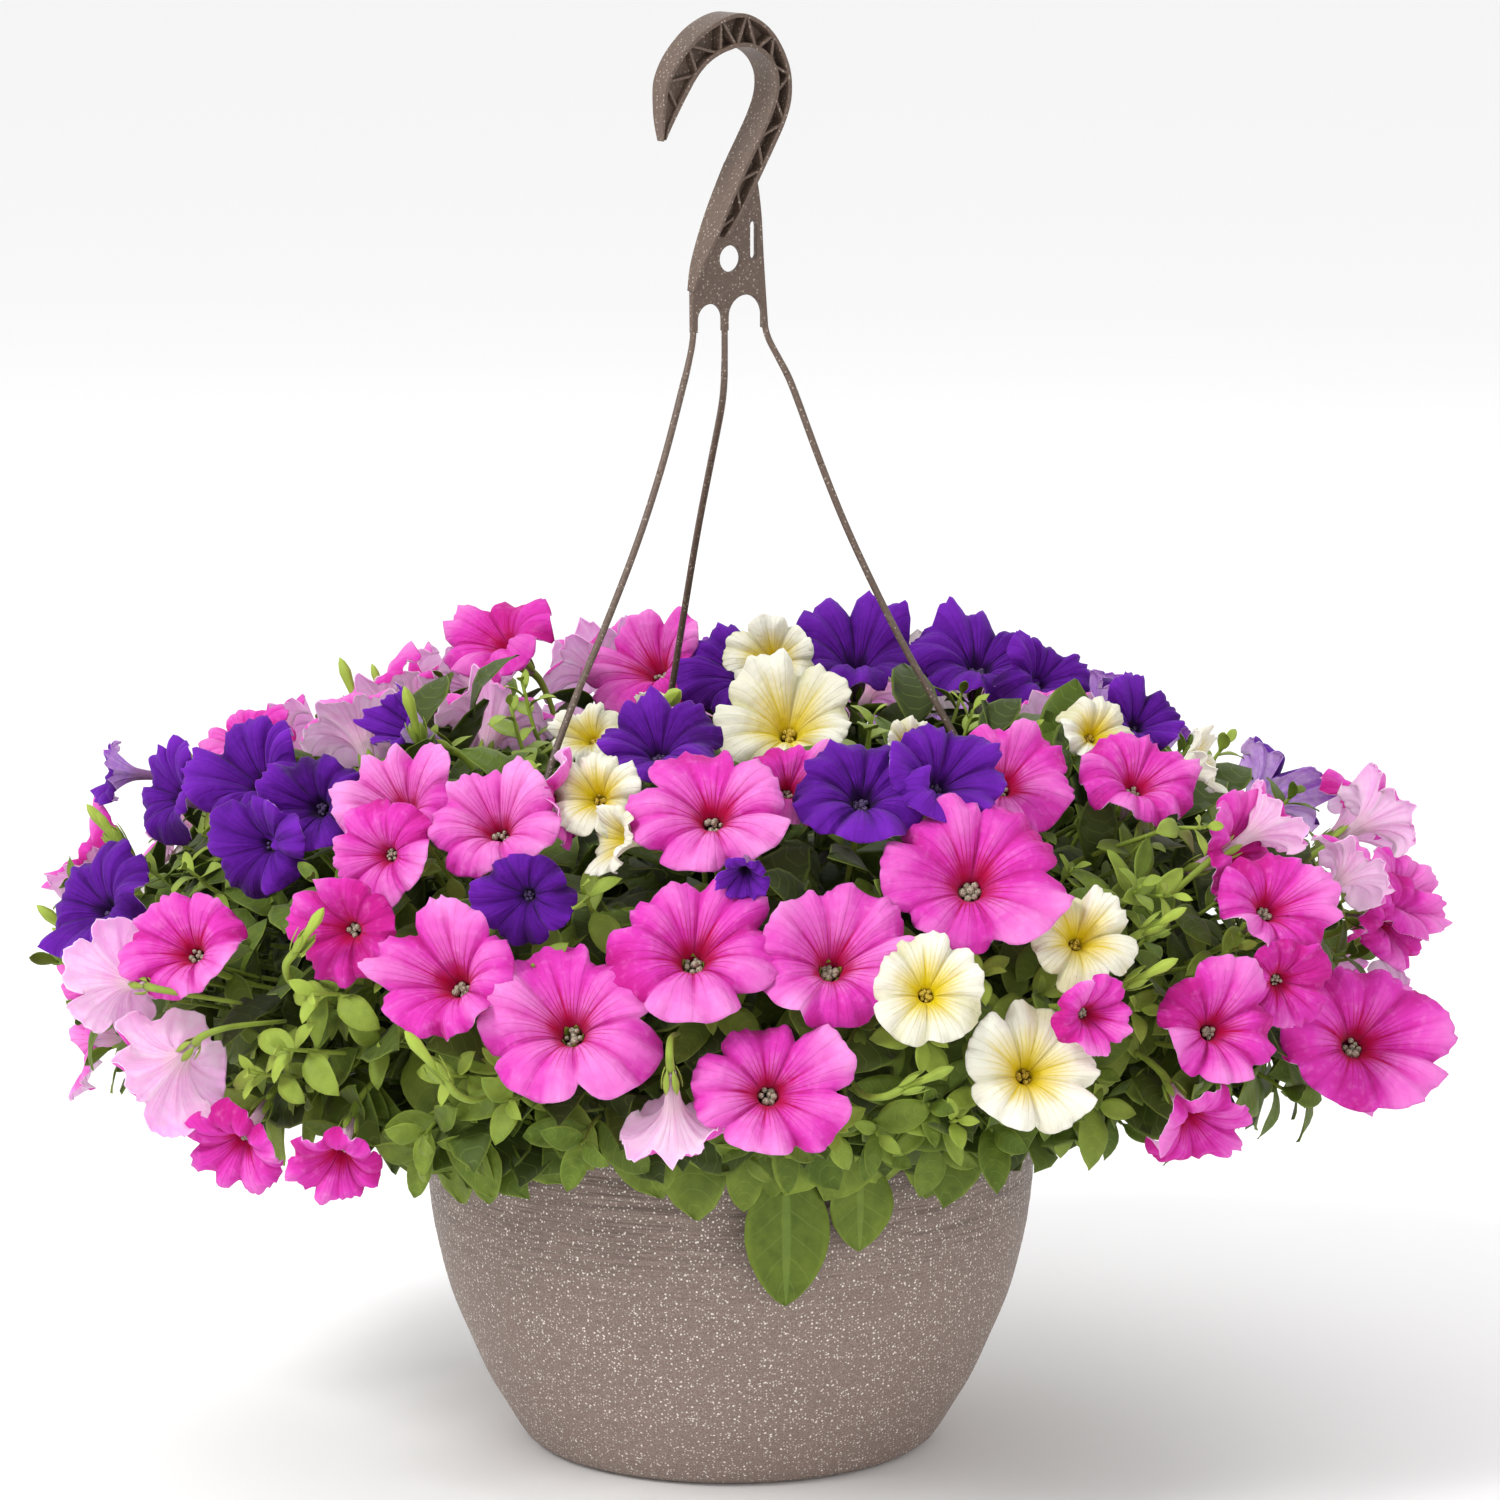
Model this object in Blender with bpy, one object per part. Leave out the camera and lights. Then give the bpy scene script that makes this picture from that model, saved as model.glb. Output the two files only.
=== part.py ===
"""Hanging basket of petunias.

A moulded resin bowl stands on its flat base, filled with potting mix. A one-piece
plastic hanger rises from three slots under the bowl's lip: three thin strands, a
yoke plate and a hook with an I-beam section. Six petunia plants fill the bowl, and
their larger blooms stand out of the canopy.

Metres, +Z up, origin at the centre of the bowl's underside. Sizes below are in
millimetres and degrees. The hanger's flat plane is turned HANGER_TURN about Z.
"""

import math
import random

import bmesh
import bpy
from mathutils import Matrix, Vector
from mathutils.bvhtree import BVHTree

MM = 0.001
GAP = 0.35  # clearance between neighbouring solids

# --- bowl -----------------------------------------------------------------
BOWL_SEGMENTS = 48
BOWL_OUTER = [  # radius, height up the outside of the wall
    (85, 0), (91, 1.2), (95, 4), (98.5, 9), (105, 20), (112, 32), (120, 50), (128.5, 71), (134, 92),
    (137, 108), (139, 128), (139.8, 150), (139.8, 163), (141.2, 165.5), (141.5, 171), (140.2, 174),
]
BOWL_WALL = 2.2
BOWL_BASE = 2.6
LIP_INNER = [(138.6, 174), (137.6, 171), (137.6, 164)]
DRAIN_RING = 58
DRAIN_RADIUS = 4.5
DRAIN_COUNT = 6
DRAIN_START = 33.5
SLOT_SIZE = (10, 11.6, 5.2)  # through the wall, along it, upright
SLOT_HEIGHT = 158.6
MIX_TOP = 158

# --- hanger ---------------------------------------------------------------
HANGER_TURN = 36.0
PIVOT = (0, 0, 522)  # the three axes on which the hanger flexes cross here
STRANDS = {"front_left": 229.5, "back_left": 109.5, "right": 349.5}  # azimuths at the lip
PRONGS = {"front_left": -20.0, "back_left": -3.0, "right": 19.0}  # places along the yoke
STRAND_RADIUS = 1.6
PRONG_END = 26.0  # distances from the pivot at which one strand root gives way to the next
UPPER_ROOT_END = 34.0
LOWER_ROOT_END = 42.0
STRAND_SHAPE = {  # share of the way out from the yoke to the lip, height
    "front_left": [
        (0, 540), (0, 512), (0.03, 498), (0.07, 486), (0.18, 455), (0.33, 421), (0.53, 384),
        (0.70, 355), (0.86, 322), (0.95, 285), (0.985, 240), (1, 200),
    ],
    "back_left": [
        (0, 540), (0, 512), (0, 496), (0.02, 479), (0.12, 454), (0.28, 415), (0.44, 370),
        (0.58, 330), (0.75, 292), (0.90, 258), (0.975, 228), (1, 200),
    ],
    "right": [
        (0, 540), (0, 512), (0.05, 498), (0.10, 486), (0.19, 456), (0.29, 425), (0.40, 396),
        (0.52, 367), (0.67, 335), (0.83, 300), (0.94, 262), (0.985, 230), (1, 200),
    ],
}
CLIP_RADIUS = 140.6
CLIP_WIDTH = 8.0
CLIP_TOP = 181.0
CLIP_SECTION = [  # radius, height: over the lip, down outside, and in through the slot
    (136.2, 176.5), (136.2, 179.0), (138.4, 181.0), (143.4, 181.0), (145.2, 178.6), (145.2, 157.4),
    (135.2, 157.4), (134.6, 158.6), (135.2, 159.8), (142.6, 159.8), (142.6, 176.5),
]

HOOK_STATIONS = [  # from the tip: outer edge, inner edge, flange width
    ((-38.0, 597.5), (-36.4, 598.2), 5),
    ((-39.2, 606.0), (-34.2, 603.6), 7),
    ((-39.2, 615.0), (-30.5, 611.0), 9),
    ((-38.0, 624.0), (-26.5, 618.5), 11),
    ((-33.5, 632.5), (-21.5, 626.5), 13),
    ((-27.0, 640.0), (-16.0, 632.0), 14.5),
    ((-19.0, 646.5), (-10.0, 635.5), 16),
    ((-10.0, 651.0), (-5.0, 637.2), 17),
    ((-2.5, 653.0), (-1.5, 638.0), 17),
    ((4.0, 652.6), (4.5, 638.0), 17),
    ((12.0, 649.0), (9.0, 636.6), 17),
    ((19.0, 643.0), (13.4, 634.0), 17),
    ((24.8, 634.0), (17.0, 630.0), 17),
    ((28.0, 624.5), (19.4, 624.0), 17),
    ((28.0, 613.5), (19.0, 616.0), 17),
    ((24.6, 603.5), (15.4, 607.0), 17),
    ((18.8, 593.0), (9.6, 596.8), 17),
    ((13.0, 583.2), (3.8, 587.0), 17),
]
FIRST_RIB = 3
FLANGE = 1.9
WEB = 2.4
RIB = 1.3
YOKE_THICK = 3.0
YOKE_LEFT = [(3.2, 586.2), (-5.6, 569), (-12.2, 555), (-18.6, 541), (-21.6, 530)]
YOKE_RIGHT = [(18.9, 530), (17.8, 545), (16.7, 562), (14.6, 576.5), (12.4, 582.4)]
YOKE_FLANGE_WIDTHS = [17, 16, 14, 9, 5]
YOKE_HOLE = (-0.5, 543.2, 6.0)
YOKE_SLOT = (10.4, 14.0, 542.5, 559.5)
ARCH_CROWNS = (523.5, 526.5)

# --- plants ---------------------------------------------------------------
PLANTS_PER_SECTOR = 2
STRAND_LANE = 7.0  # half-width left free along a strand
PLANT_LANE = 2.0  # and between two plants
CANOPY_COLUMNS = 11
CANOPY_SECTION = [  # radius at the nominal spread, height
    (24, 170), (24, 258), (58, 292), (104, 314), (150, 318), (192, 302), (224, 272), (242, 238),
    (245, 205), (232, 174), (205, 155), (168, 152), (153, 162), (150, 186), (128, 188), (76, 172),
]
NOMINAL_SPREAD = 245.0
SPREAD_X = 286.0
SPREAD_Y = 244.0
BOWL_CLEAR = 158.0  # inside this radius the canopy isn't stretched
LUMP_OUT = 0.045
LUMP_UP = 6.0

TUBE_LENGTH = 36.0
BLOOMS = [  # name, throat, diameter, turn from straight ahead, tilt upwards
    ("pink_bloom_1", (-68, -264, 254), 70, -6, 10),
    ("pink_bloom_2", (-15, -254, 284), 66, 0, 14),
    ("pink_bloom_3", (46, -252, 279), 60, 8, 10),
    ("pink_bloom_4", (18, -274, 226), 62, 4, 2),
    ("pink_bloom_5", (104, -220, 308), 72, 4, 22),
    ("pink_bloom_6", (-122, -244, 270), 64, -24, 10),
    ("pink_bloom_7", (-8, -206, 334), 60, -4, 26),
    ("pink_bloom_8", (-102, -190, 326), 52, -14, 26),
    ("pink_bloom_9", (-146, -160, 330), 50, -30, 30),
    ("pink_bloom_10", (122, -150, 338), 50, 12, 24),
    ("pink_bloom_11", (210, -216, 240), 50, 18, 2),
    ("pink_bloom_12", (278, -150, 220), 66, 12, 2),
    ("pink_bloom_13", (238, -170, 285), 52, 24, 20),
    ("pink_bloom_14", (-236, -184, 268), 54, -22, 6),
    ("pink_bloom_15", (182, -120, 334), 54, 24, 36),
    ("pink_bloom_16", (-214, -196, 176), 44, -26, -30),
    ("pink_bloom_17", (202, -220, 190), 42, 26, -30),
    ("pink_bloom_18", (310, -30, 262), 52, 64, 10),
    ("pink_bloom_19", (300, 64, 280), 54, 100, 20),
    ("pink_bloom_20", (250, 170, 240), 62, 140, 8),
    ("pink_bloom_21", (140, 238, 264), 64, 155, 14),
    ("pink_bloom_22", (10, 268, 250), 68, 180, 8),
    ("pink_bloom_23", (-225, 184, 250), 62, 222, 10),
    ("pink_bloom_24", (-304, 40, 268), 54, 265, 14),
    ("pink_bloom_25", (-60, 204, 334), 62, 190, 36),
    ("purple_bloom_1", (-216, -90, 330), 54, -40, 30),
    ("purple_bloom_2", (-286, -95, 272), 54, -50, 12),
    ("purple_bloom_3", (58, -196, 340), 52, 6, 30),
    ("purple_bloom_4", (60, 90, 358), 58, 6, 50),
    ("purple_bloom_5", (118, 95, 354), 58, 14, 50),
    ("purple_bloom_6", (-32, -130, 350), 50, -10, 40),
    ("purple_bloom_7", (-120, 242, 268), 62, 200, 14),
    ("cream_bloom_1", (128, -256, 230), 52, 10, 2),
    ("cream_bloom_2", (84, -258, 266), 46, 6, 4),
    ("cream_bloom_3", (150, -228, 282), 42, 14, 10),
    ("cream_bloom_4", (26, -70, 348), 56, 0, 42),
]
LEAVES = [  # the two largest leaves hanging over the lip: name, azimuth, top, length, width
    ("trailing_leaf_1", 279.0, 148, 50, 34),
    ("trailing_leaf_2", 293.0, 149, 34, 26),
]

MATERIALS = {  # linear colour, roughness
    "bowl_resin": ((0.25, 0.19, 0.165), 0.5),
    "hanger_plastic": ((0.19, 0.145, 0.115), 0.45),
    "potting_mix": ((0.045, 0.028, 0.018), 0.95),
    "foliage": ((0.09, 0.20, 0.02), 0.55),
    "pink_petals": ((0.80, 0.08, 0.58), 0.6),
    "purple_petals": ((0.07, 0.01, 0.35), 0.6),
    "cream_petals": ((0.90, 0.86, 0.70), 0.6),
}


# --- helpers --------------------------------------------------------------
def clear_scene():
    for obj in list(bpy.data.objects):
        bpy.data.objects.remove(obj)


def material(name):
    """The named Principled material, made on first use. None of this part is metal."""
    found = bpy.data.materials.get(name)
    if found:
        return found
    colour, roughness = MATERIALS[name]
    made = bpy.data.materials.new(name)
    made.use_nodes = True
    shader = made.node_tree.nodes["Principled BSDF"]
    shader.inputs["Base Color"].default_value = (*colour, 1)
    shader.inputs["Roughness"].default_value = roughness
    shader.inputs["Metallic"].default_value = 0
    made.diffuse_color = (*colour, 1)
    return made


def add_object(name, data, at=(0, 0, 0), parent=None):
    """Link an object at a world place given in millimetres, under an optional parent."""
    obj = bpy.data.objects.new(name, data)
    bpy.context.scene.collection.objects.link(obj)
    obj.location = Vector(at) * MM
    if parent:
        obj.parent = parent
        obj.location -= parent.location
    return obj


def make_solid(name, verts, faces, slot, origin=(0, 0, 0), parent=None):
    """One closed object from world points in millimetres, its faces turned outwards."""
    mesh = bpy.data.meshes.new(name)
    mesh.from_pydata([(Vector(v) - Vector(origin)) * MM for v in verts], [], faces)
    bm = bmesh.new()
    bm.from_mesh(mesh)
    bmesh.ops.recalc_face_normals(bm, faces=bm.faces)
    bm.to_mesh(mesh)
    bm.free()
    mesh.shade_smooth()
    mesh.set_sharp_from_angle(angle=math.radians(35))
    mesh.materials.append(material(slot))
    return add_object(name, mesh, origin, parent)


def combine(target, others, operation):
    """Apply exact Booleans to target and drop the tools."""
    for other in others:
        mod = target.modifiers.new(operation.lower(), "BOOLEAN")
        mod.operation = operation
        mod.solver = "EXACT"
        mod.object = other
    graph = bpy.context.evaluated_depsgraph_get()
    mesh = bpy.data.meshes.new_from_object(target.evaluated_get(graph))
    target.modifiers.clear()
    target.data = mesh
    for other in others:
        bpy.data.objects.remove(other)
    return target


def polar(radius, degrees, z=0.0):
    angle = math.radians(degrees)
    return Vector((radius * math.cos(angle), radius * math.sin(angle), z))


def hanger_point(along, across, z):
    """A point in the hanger's own plane: along the yoke, out of its face, height."""
    return Matrix.Rotation(math.radians(HANGER_TURN), 3, "Z") @ Vector((along, across, z))


def circle(count, start=0.0):
    """Evenly spaced angles in degrees."""
    return [start + 360 * k / count for k in range(count)]


def revolve(name, profile, slot):
    """Turn a closed (radius, z) loop round Z; its first and last points lie on the axis."""
    rings = profile[1:-1]
    count = BOWL_SEGMENTS
    verts = [(0, 0, profile[0][1]), (0, 0, profile[-1][1])]
    for radius, z in rings:
        verts += [polar(radius, a, z) for a in circle(count)]
    last = 2 + (len(rings) - 1) * count
    faces = []
    for k in range(count):
        n = (k + 1) % count
        faces += [(0, 2 + n, 2 + k), (1, last + k, last + n)]
        for a in range(2, last, count):
            faces.append((a + k, a + n, a + count + n, a + count + k))
    return make_solid(name, verts, faces, slot)


def loft(name, rings, slot, origin=(0, 0, 0), parent=None):
    """Skin a list of equal rings and close both ends with flat caps."""
    count = len(rings[0])
    end = (len(rings) - 1) * count
    verts = [v for ring in rings for v in ring]
    faces = [tuple(range(count)), tuple(range(end, end + count))]
    for a in range(0, end, count):
        for k in range(count):
            n = (k + 1) % count
            faces.append((a + k, a + n, a + count + n, a + count + k))
    return make_solid(name, verts, faces, slot, origin, parent)


def prism(name, outline, half, slot, parent=None, origin=(0, 0, 0)):
    """Extrude an outline in the hanger's plane by half its thickness to each side."""
    rings = [[hanger_point(x, side * half, z) for x, z in outline] for side in (-1, 1)]
    return loft(name, rings, slot, origin, parent)


# --- bowl and mix ---------------------------------------------------------
def inner_wall():
    """The bowl's inside from its floor up to the lip; the foot of the wall is a little thicker."""
    inside = []
    for radius, z in BOWL_OUTER:
        if BOWL_BASE < z < LIP_INNER[-1][1]:
            foot = 0.8 if z < 20 else 0
            inside.append((radius - BOWL_WALL - foot, z))
    return inside


def pot_shell():
    inside = LIP_INNER + inner_wall()[::-1] + [(90, BOWL_BASE)]
    shell = revolve("pot_shell", [(0, 0)] + BOWL_OUTER + inside + [(0, BOWL_BASE)], "bowl_resin")
    tools = []
    for azimuth in circle(DRAIN_COUNT, DRAIN_START):
        centre = polar(DRAIN_RING, azimuth)
        rings = [[centre + polar(DRAIN_RADIUS, a, z) for a in circle(12, 8)] for z in (-3, 6)]
        tools.append(loft("drain", rings, "bowl_resin"))
    deep, wide, tall = SLOT_SIZE
    for azimuth in STRANDS.values():
        spin = Matrix.Rotation(math.radians(azimuth), 3, "Z")
        rings = []
        for z in (SLOT_HEIGHT - tall / 2, SLOT_HEIGHT + tall / 2):
            corners = [(-deep, -wide), (deep, -wide), (deep, wide), (-deep, wide)]
            rings.append([spin @ Vector((139 + x / 2, y / 2, z)) for x, y in corners])
        tools.append(loft("slot", rings, "bowl_resin"))
    return combine(shell, tools, "DIFFERENCE")


def potting_mix():
    floor = BOWL_BASE + GAP
    wall = [(r - GAP, z) for r, z in inner_wall()[::3] if z < MIX_TOP - 3]
    crown = [(137.2, MIX_TOP - 6), (133.5, MIX_TOP - 1), (90, MIX_TOP + 3), (40, MIX_TOP + 5)]
    profile = [(0, floor), (88, floor)] + wall + crown + [(0, MIX_TOP + 6)]
    return revolve("potting_mix", profile, "potting_mix")


# --- hanger ---------------------------------------------------------------
def i_section(outer, inner, width):
    """Twelve corners of an I-beam between two edge points in the hanger's plane."""
    start = Vector(inner)
    run = Vector(outer) - start
    depth = run.length
    flange = min(FLANGE, 0.3 * depth)
    web = min(WEB, 0.5 * width)
    levels = [(0, width), (flange, width), (flange, web)]
    levels += [(depth - d, w) for d, w in reversed(levels)]
    half = [(start + run * (d / depth), w / 2) for d, w in levels]
    whole = half + [(p, -w) for p, w in reversed(half)]
    return [hanger_point(p.x, w, p.y) for p, w in whole]


def hanger_hook(pivot):
    """The hook's beam with a zigzag of ribs between its flanges."""
    rings = [i_section(*station) for station in HOOK_STATIONS]
    beam = loft("hanger_hook", rings, "hanger_plastic", PIVOT, pivot)
    ribs = []
    for k in range(FIRST_RIB, len(HOOK_STATIONS) - 1):
        here, there = HOOK_STATIONS[k], HOOK_STATIONS[k + 1]
        side = k % 2
        start, end = Vector(here[1 - side]), Vector(there[side])
        run = (end - start).normalized()
        start += run
        end -= run
        edge = Vector((-run.y, run.x)) * RIB / 2
        outline = [start + edge, end + edge, end - edge, start - edge]
        ribs.append(prism("rib", outline, min(here[2], there[2]) / 2 - 0.6, "hanger_plastic"))
    return combine(beam, ribs, "UNION")


def arch(left, right, crown, steps=6):
    """A half-round cut in the yoke's lower edge."""
    middle, half = (left + right) / 2, (right - left) / 2
    angles = [math.pi * k / steps for k in range(steps + 1)]
    return [(middle - half * math.cos(a), crown - half + half * math.sin(a)) for a in angles]


def prong(key):
    """The lower end of one prong, cut on the shell where its strand's root begins."""
    reach = PRONG_END - GAP / 2
    sides = (PRONGS[key] - STRAND_RADIUS, PRONGS[key] + STRAND_RADIUS)
    return [(x, PIVOT[2] - math.sqrt(reach**2 - x**2)) for x in sides]


def yoke_plate(pivot):
    """The flat plate under the hook: hole, slot, three prongs and one flanged edge."""
    left, middle, right = (prong(key) for key in ("front_left", "back_left", "right"))
    first_arch = arch(left[1][0], middle[0][0], ARCH_CROWNS[0])
    second_arch = arch(middle[1][0], right[0][0], ARCH_CROWNS[1])
    outline = YOKE_LEFT + left + first_arch + middle + second_arch + right + YOKE_RIGHT
    plate = prism("yoke_plate", outline, YOKE_THICK / 2, "hanger_plastic", pivot, PIVOT)
    x, z, radius = YOKE_HOLE
    ring = [(x + p.x, z + p.y) for p in (polar(radius, a) for a in circle(16, 11.25))]
    x0, x1, z0, z1 = YOKE_SLOT
    slot = [(x0, z0), (x1, z0), (x1, z1), (x0, z1)]
    tools = [prism(n, o, 20, "hanger_plastic") for n, o in (("hole", ring), ("slot", slot))]
    combine(plate, tools, "DIFFERENCE")
    rings = []
    for (x, z), width in zip(YOKE_LEFT, YOKE_FLANGE_WIDTHS):
        corners = [(-0.4, -width / 2), (1.8, -width / 2), (1.8, width / 2), (-0.4, width / 2)]
        rings.append([hanger_point(x + dx, y, z - 0.3) for dx, y in corners])
    return combine(plate, [loft("edge_flange", rings, "hanger_plastic")], "UNION")


def strand_path(key):
    """The strand's centre line from inside the yoke down to its clip."""
    start = hanger_point(PRONGS[key], 0, 0)
    end = polar(CLIP_RADIUS, STRANDS[key])
    shape = STRAND_SHAPE[key] + [(1, CLIP_TOP + GAP)]
    return [Vector((*start.lerp(end, share).xy, z)) for share, z in shape]


def smooth_path(points, step):
    """Resample a polyline on a Catmull-Rom curve."""
    out = []
    padded = [points[0]] + points + [points[-1]]
    for p0, p1, p2, p3 in zip(padded, padded[1:], padded[2:], padded[3:]):
        pieces = max(1, round((p2 - p1).length / step))
        for t in (j / pieces for j in range(pieces)):
            bend = (2 * p0 - 5 * p1 + 4 * p2 - p3) * t**2 + (3 * p1 - p0 - 3 * p2 + p3) * t**3
            out.append((2 * p1 + (p2 - p0) * t + bend) / 2)
    return out + [points[-1]]


def on_shell(point, direction, reach):
    """Slide a point along a direction until it is reach away from the pivot."""
    offset = point - Vector(PIVOT)
    b = offset.dot(direction)
    c = offset.dot(offset) - reach**2
    return point + direction * (math.sqrt(b * b - c) - b)


def strand_piece(name, key, near, far, origin, parent=None):
    """A strand between two shells about the pivot; with far None it runs to its clip.

    Its ends are cut on the shells, so that neighbours turn about the pivot without touching.
    """
    path = smooth_path(strand_path(key), 2.5 if far else 16.0)
    pivot = Vector(PIVOT)
    picked = []
    for i, point in enumerate(path):
        reach = (point - pivot).length
        if point.z < pivot.z and near + 1.8 < reach < (far or 1000) - 1.8:
            picked.append(i)

    def ring(i):
        tangent = (path[min(i + 1, len(path) - 1)] - path[i - 1]).normalized()
        side = tangent.cross(Vector((0.2, 1, 0.1))).normalized()
        up = side.cross(tangent)
        spokes = [polar(STRAND_RADIUS, a) for a in circle(8)]
        return tangent, [path[i] + side * s.x + up * s.y for s in spokes]

    tangent, first = ring(picked[0])
    rings = [[on_shell(p, tangent, near) for p in first]]
    rings += [ring(i)[1] for i in picked]
    if far:
        tangent, last = ring(picked[-1])
        rings.append([on_shell(p, tangent, far) for p in last])
    else:
        rings[-1] = [Vector((p.x, p.y, CLIP_TOP + GAP)) for p in rings[-1]]
    return loft(name, rings, "hanger_plastic", origin, parent)


def rim_clip(name, azimuth):
    """The snap end: it rides over the lip and its barb goes in through the bowl's slot."""
    spin = Matrix.Rotation(math.radians(azimuth), 3, "Z")
    half = CLIP_WIDTH / 2
    rings = [[spin @ Vector((r, w, z)) for r, z in CLIP_SECTION] for w in (-half, half)]
    return loft(name, rings, "hanger_plastic", polar(CLIP_RADIUS, azimuth, CLIP_TOP))


# --- plants ---------------------------------------------------------------
def spread(azimuth):
    """How far the canopy reaches at an azimuth, against its nominal spread."""
    way = polar(1, azimuth)
    return 1 / math.hypot(way.x / SPREAD_X, way.y / SPREAD_Y) / NOMINAL_SPREAD


def lane_bend(key, radius):
    """Angle by which a strand is off its own azimuth at this radius, in degrees."""
    if radius >= CLIP_RADIUS:
        return 0.0
    start = hanger_point(PRONGS[key], 0, 0)
    run = polar(CLIP_RADIUS, STRANDS[key]) - start
    a, b = run.dot(run), start.dot(run)
    c = start.dot(start) - max(radius, 90.0) ** 2
    point = start + run * ((math.sqrt(b * b - a * c) - b) / a)
    return (math.degrees(math.atan2(point.y, point.x)) - STRANDS[key] + 180) % 360 - 180


def canopy_edge(radius, keys, part, step):
    """Azimuth of one plant's side at a radius, clear of the strand or plant beside it."""
    edge = STRANDS[keys[0]] + 120 / PLANTS_PER_SECTOR * (part + step)
    by_strand = part + step in (0, PLANTS_PER_SECTOR)
    lane = STRAND_LANE if by_strand else PLANT_LANE
    if by_strand:
        edge += lane_bend(keys[step], radius)
    opening = math.degrees(math.asin(lane / radius))
    return edge - opening if step else edge + opening


def plant(number, keys, part):
    """Leaves and stems of one plant as a lobed canopy over its share of a sector."""
    rng = random.Random(number)
    waves = [(rng.uniform(0, 360), rng.uniform(5, 9)) for _ in range(3)]
    rings = []
    for column in range(CANOPY_COLUMNS):
        share = column / (CANOPY_COLUMNS - 1)
        ring = []
        for k, (radius, z) in enumerate(CANOPY_SECTION):
            start, end = (canopy_edge(radius, keys, part, step) for step in (0, 1))
            azimuth = start + (end - start) * share
            lump = sum(math.sin(math.radians(azimuth * f + p + 55 * k)) for p, f in waves) / 3
            if radius > BOWL_CLEAR:
                radius *= spread(azimuth) * (1 + LUMP_OUT * lump)
            if z > 205:
                z += LUMP_UP * lump
            ring.append(polar(radius, azimuth, z))
        rings.append(ring)
    return loft(f"plant_{number}", rings, "foliage")


def trailing_leaf(name, azimuth, top, length, width):
    """A pointed oval blade hanging just outside the bowl's wall, folded along its midrib."""
    rows = [(0.0, 0.20), (0.12, 0.62), (0.32, 1.0), (0.55, 0.92), (0.78, 0.56), (1.0, 0.05)]
    thick = 1.2
    spin = Matrix.Rotation(math.radians(azimuth), 3, "Z")
    rings = []
    for share, breadth in rows:
        half = width * breadth / 2
        out = 149.5 - 1.5 * share
        edge = out - 0.18 * half
        front = [(edge, -half), (out + 0.6, 0), (edge, half)]
        back = [(r - thick, y) for r, y in reversed(front)]
        rings.append([spin @ Vector((r, y, top - length * share)) for r, y in front + back])
    return loft(name, rings, "foliage", polar(149.5, azimuth, top))


def bloom_shape(diameter, length):
    """Vertices and faces of one trumpet about its throat, facing +Z: lobed face, funnel, tube."""
    radius = diameter / 2
    around = 15
    lobe = [0.84 if k % 3 == 0 else 1.0 for k in range(around)]
    even = [1.0] * around
    rows = [
        (1.0, 0.0, lobe), (0.975, -1.5, lobe), (0.50, -0.20 * radius, even),
        (0.22, -0.50 * radius, even), (0.10, -length, even),
    ]
    verts = [Vector((0, 0, -0.34 * radius))]
    for share, z, scale in rows:
        verts += [polar(radius * share * s, a, z) for s, a in zip(scale, circle(around))]
    verts.append(Vector((0, 0, -length)))
    end = len(verts) - 1
    faces = []
    for k in range(around):
        n = (k + 1) % around
        faces += [(0, 1 + k, 1 + n), (end, end - around + n, end - around + k)]
        for a in range(1, end - around, around):
            faces.append((a + k, a + around + k, a + around + n, a + n))
    return verts, faces


def world_tree(obj):
    """Search tree of an object's faces, in millimetres."""
    verts = [tuple(obj.matrix_world @ v.co / MM) for v in obj.data.vertices]
    return BVHTree.FromPolygons(verts, [tuple(p.vertices) for p in obj.data.polygons])


def add_blooms(neighbours):
    """Place each bloom; its tube stops short of the canopy, and its lobes draw in until clear."""
    bpy.context.view_layer.update()
    trees = [world_tree(obj) for obj in neighbours]
    for name, throat, diameter, turn, tilt in BLOOMS:
        centre = Vector(throat)
        facing = polar(math.cos(math.radians(tilt)), turn - 90, math.sin(math.radians(tilt)))
        quat = facing.to_track_quat("Z", "Y")
        hits = [tree.ray_cast(centre - facing * 4, -facing)[3] for tree in trees]
        length = min([TUBE_LENGTH] + [hit + 1 for hit in hits if hit is not None])
        length = max(length, 0.31 * diameter)

        def tree_at(size, spare):
            verts, faces = bloom_shape(size + 2 * spare, length + spare)
            placed = [tuple(centre + facing * spare / 2 + quat @ v) for v in verts]
            return BVHTree.FromPolygons(placed, faces)

        size = diameter
        while any(tree_at(size, 1.2).overlap(tree) for tree in trees):
            size *= 0.94
        verts, faces = bloom_shape(size, length)
        petals = name.split("_")[0] + "_petals"
        obj = make_solid(name, verts, faces, petals)
        obj.location = centre * MM
        obj.rotation_euler = quat.to_euler()
        trees.append(tree_at(size, 0))


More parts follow.
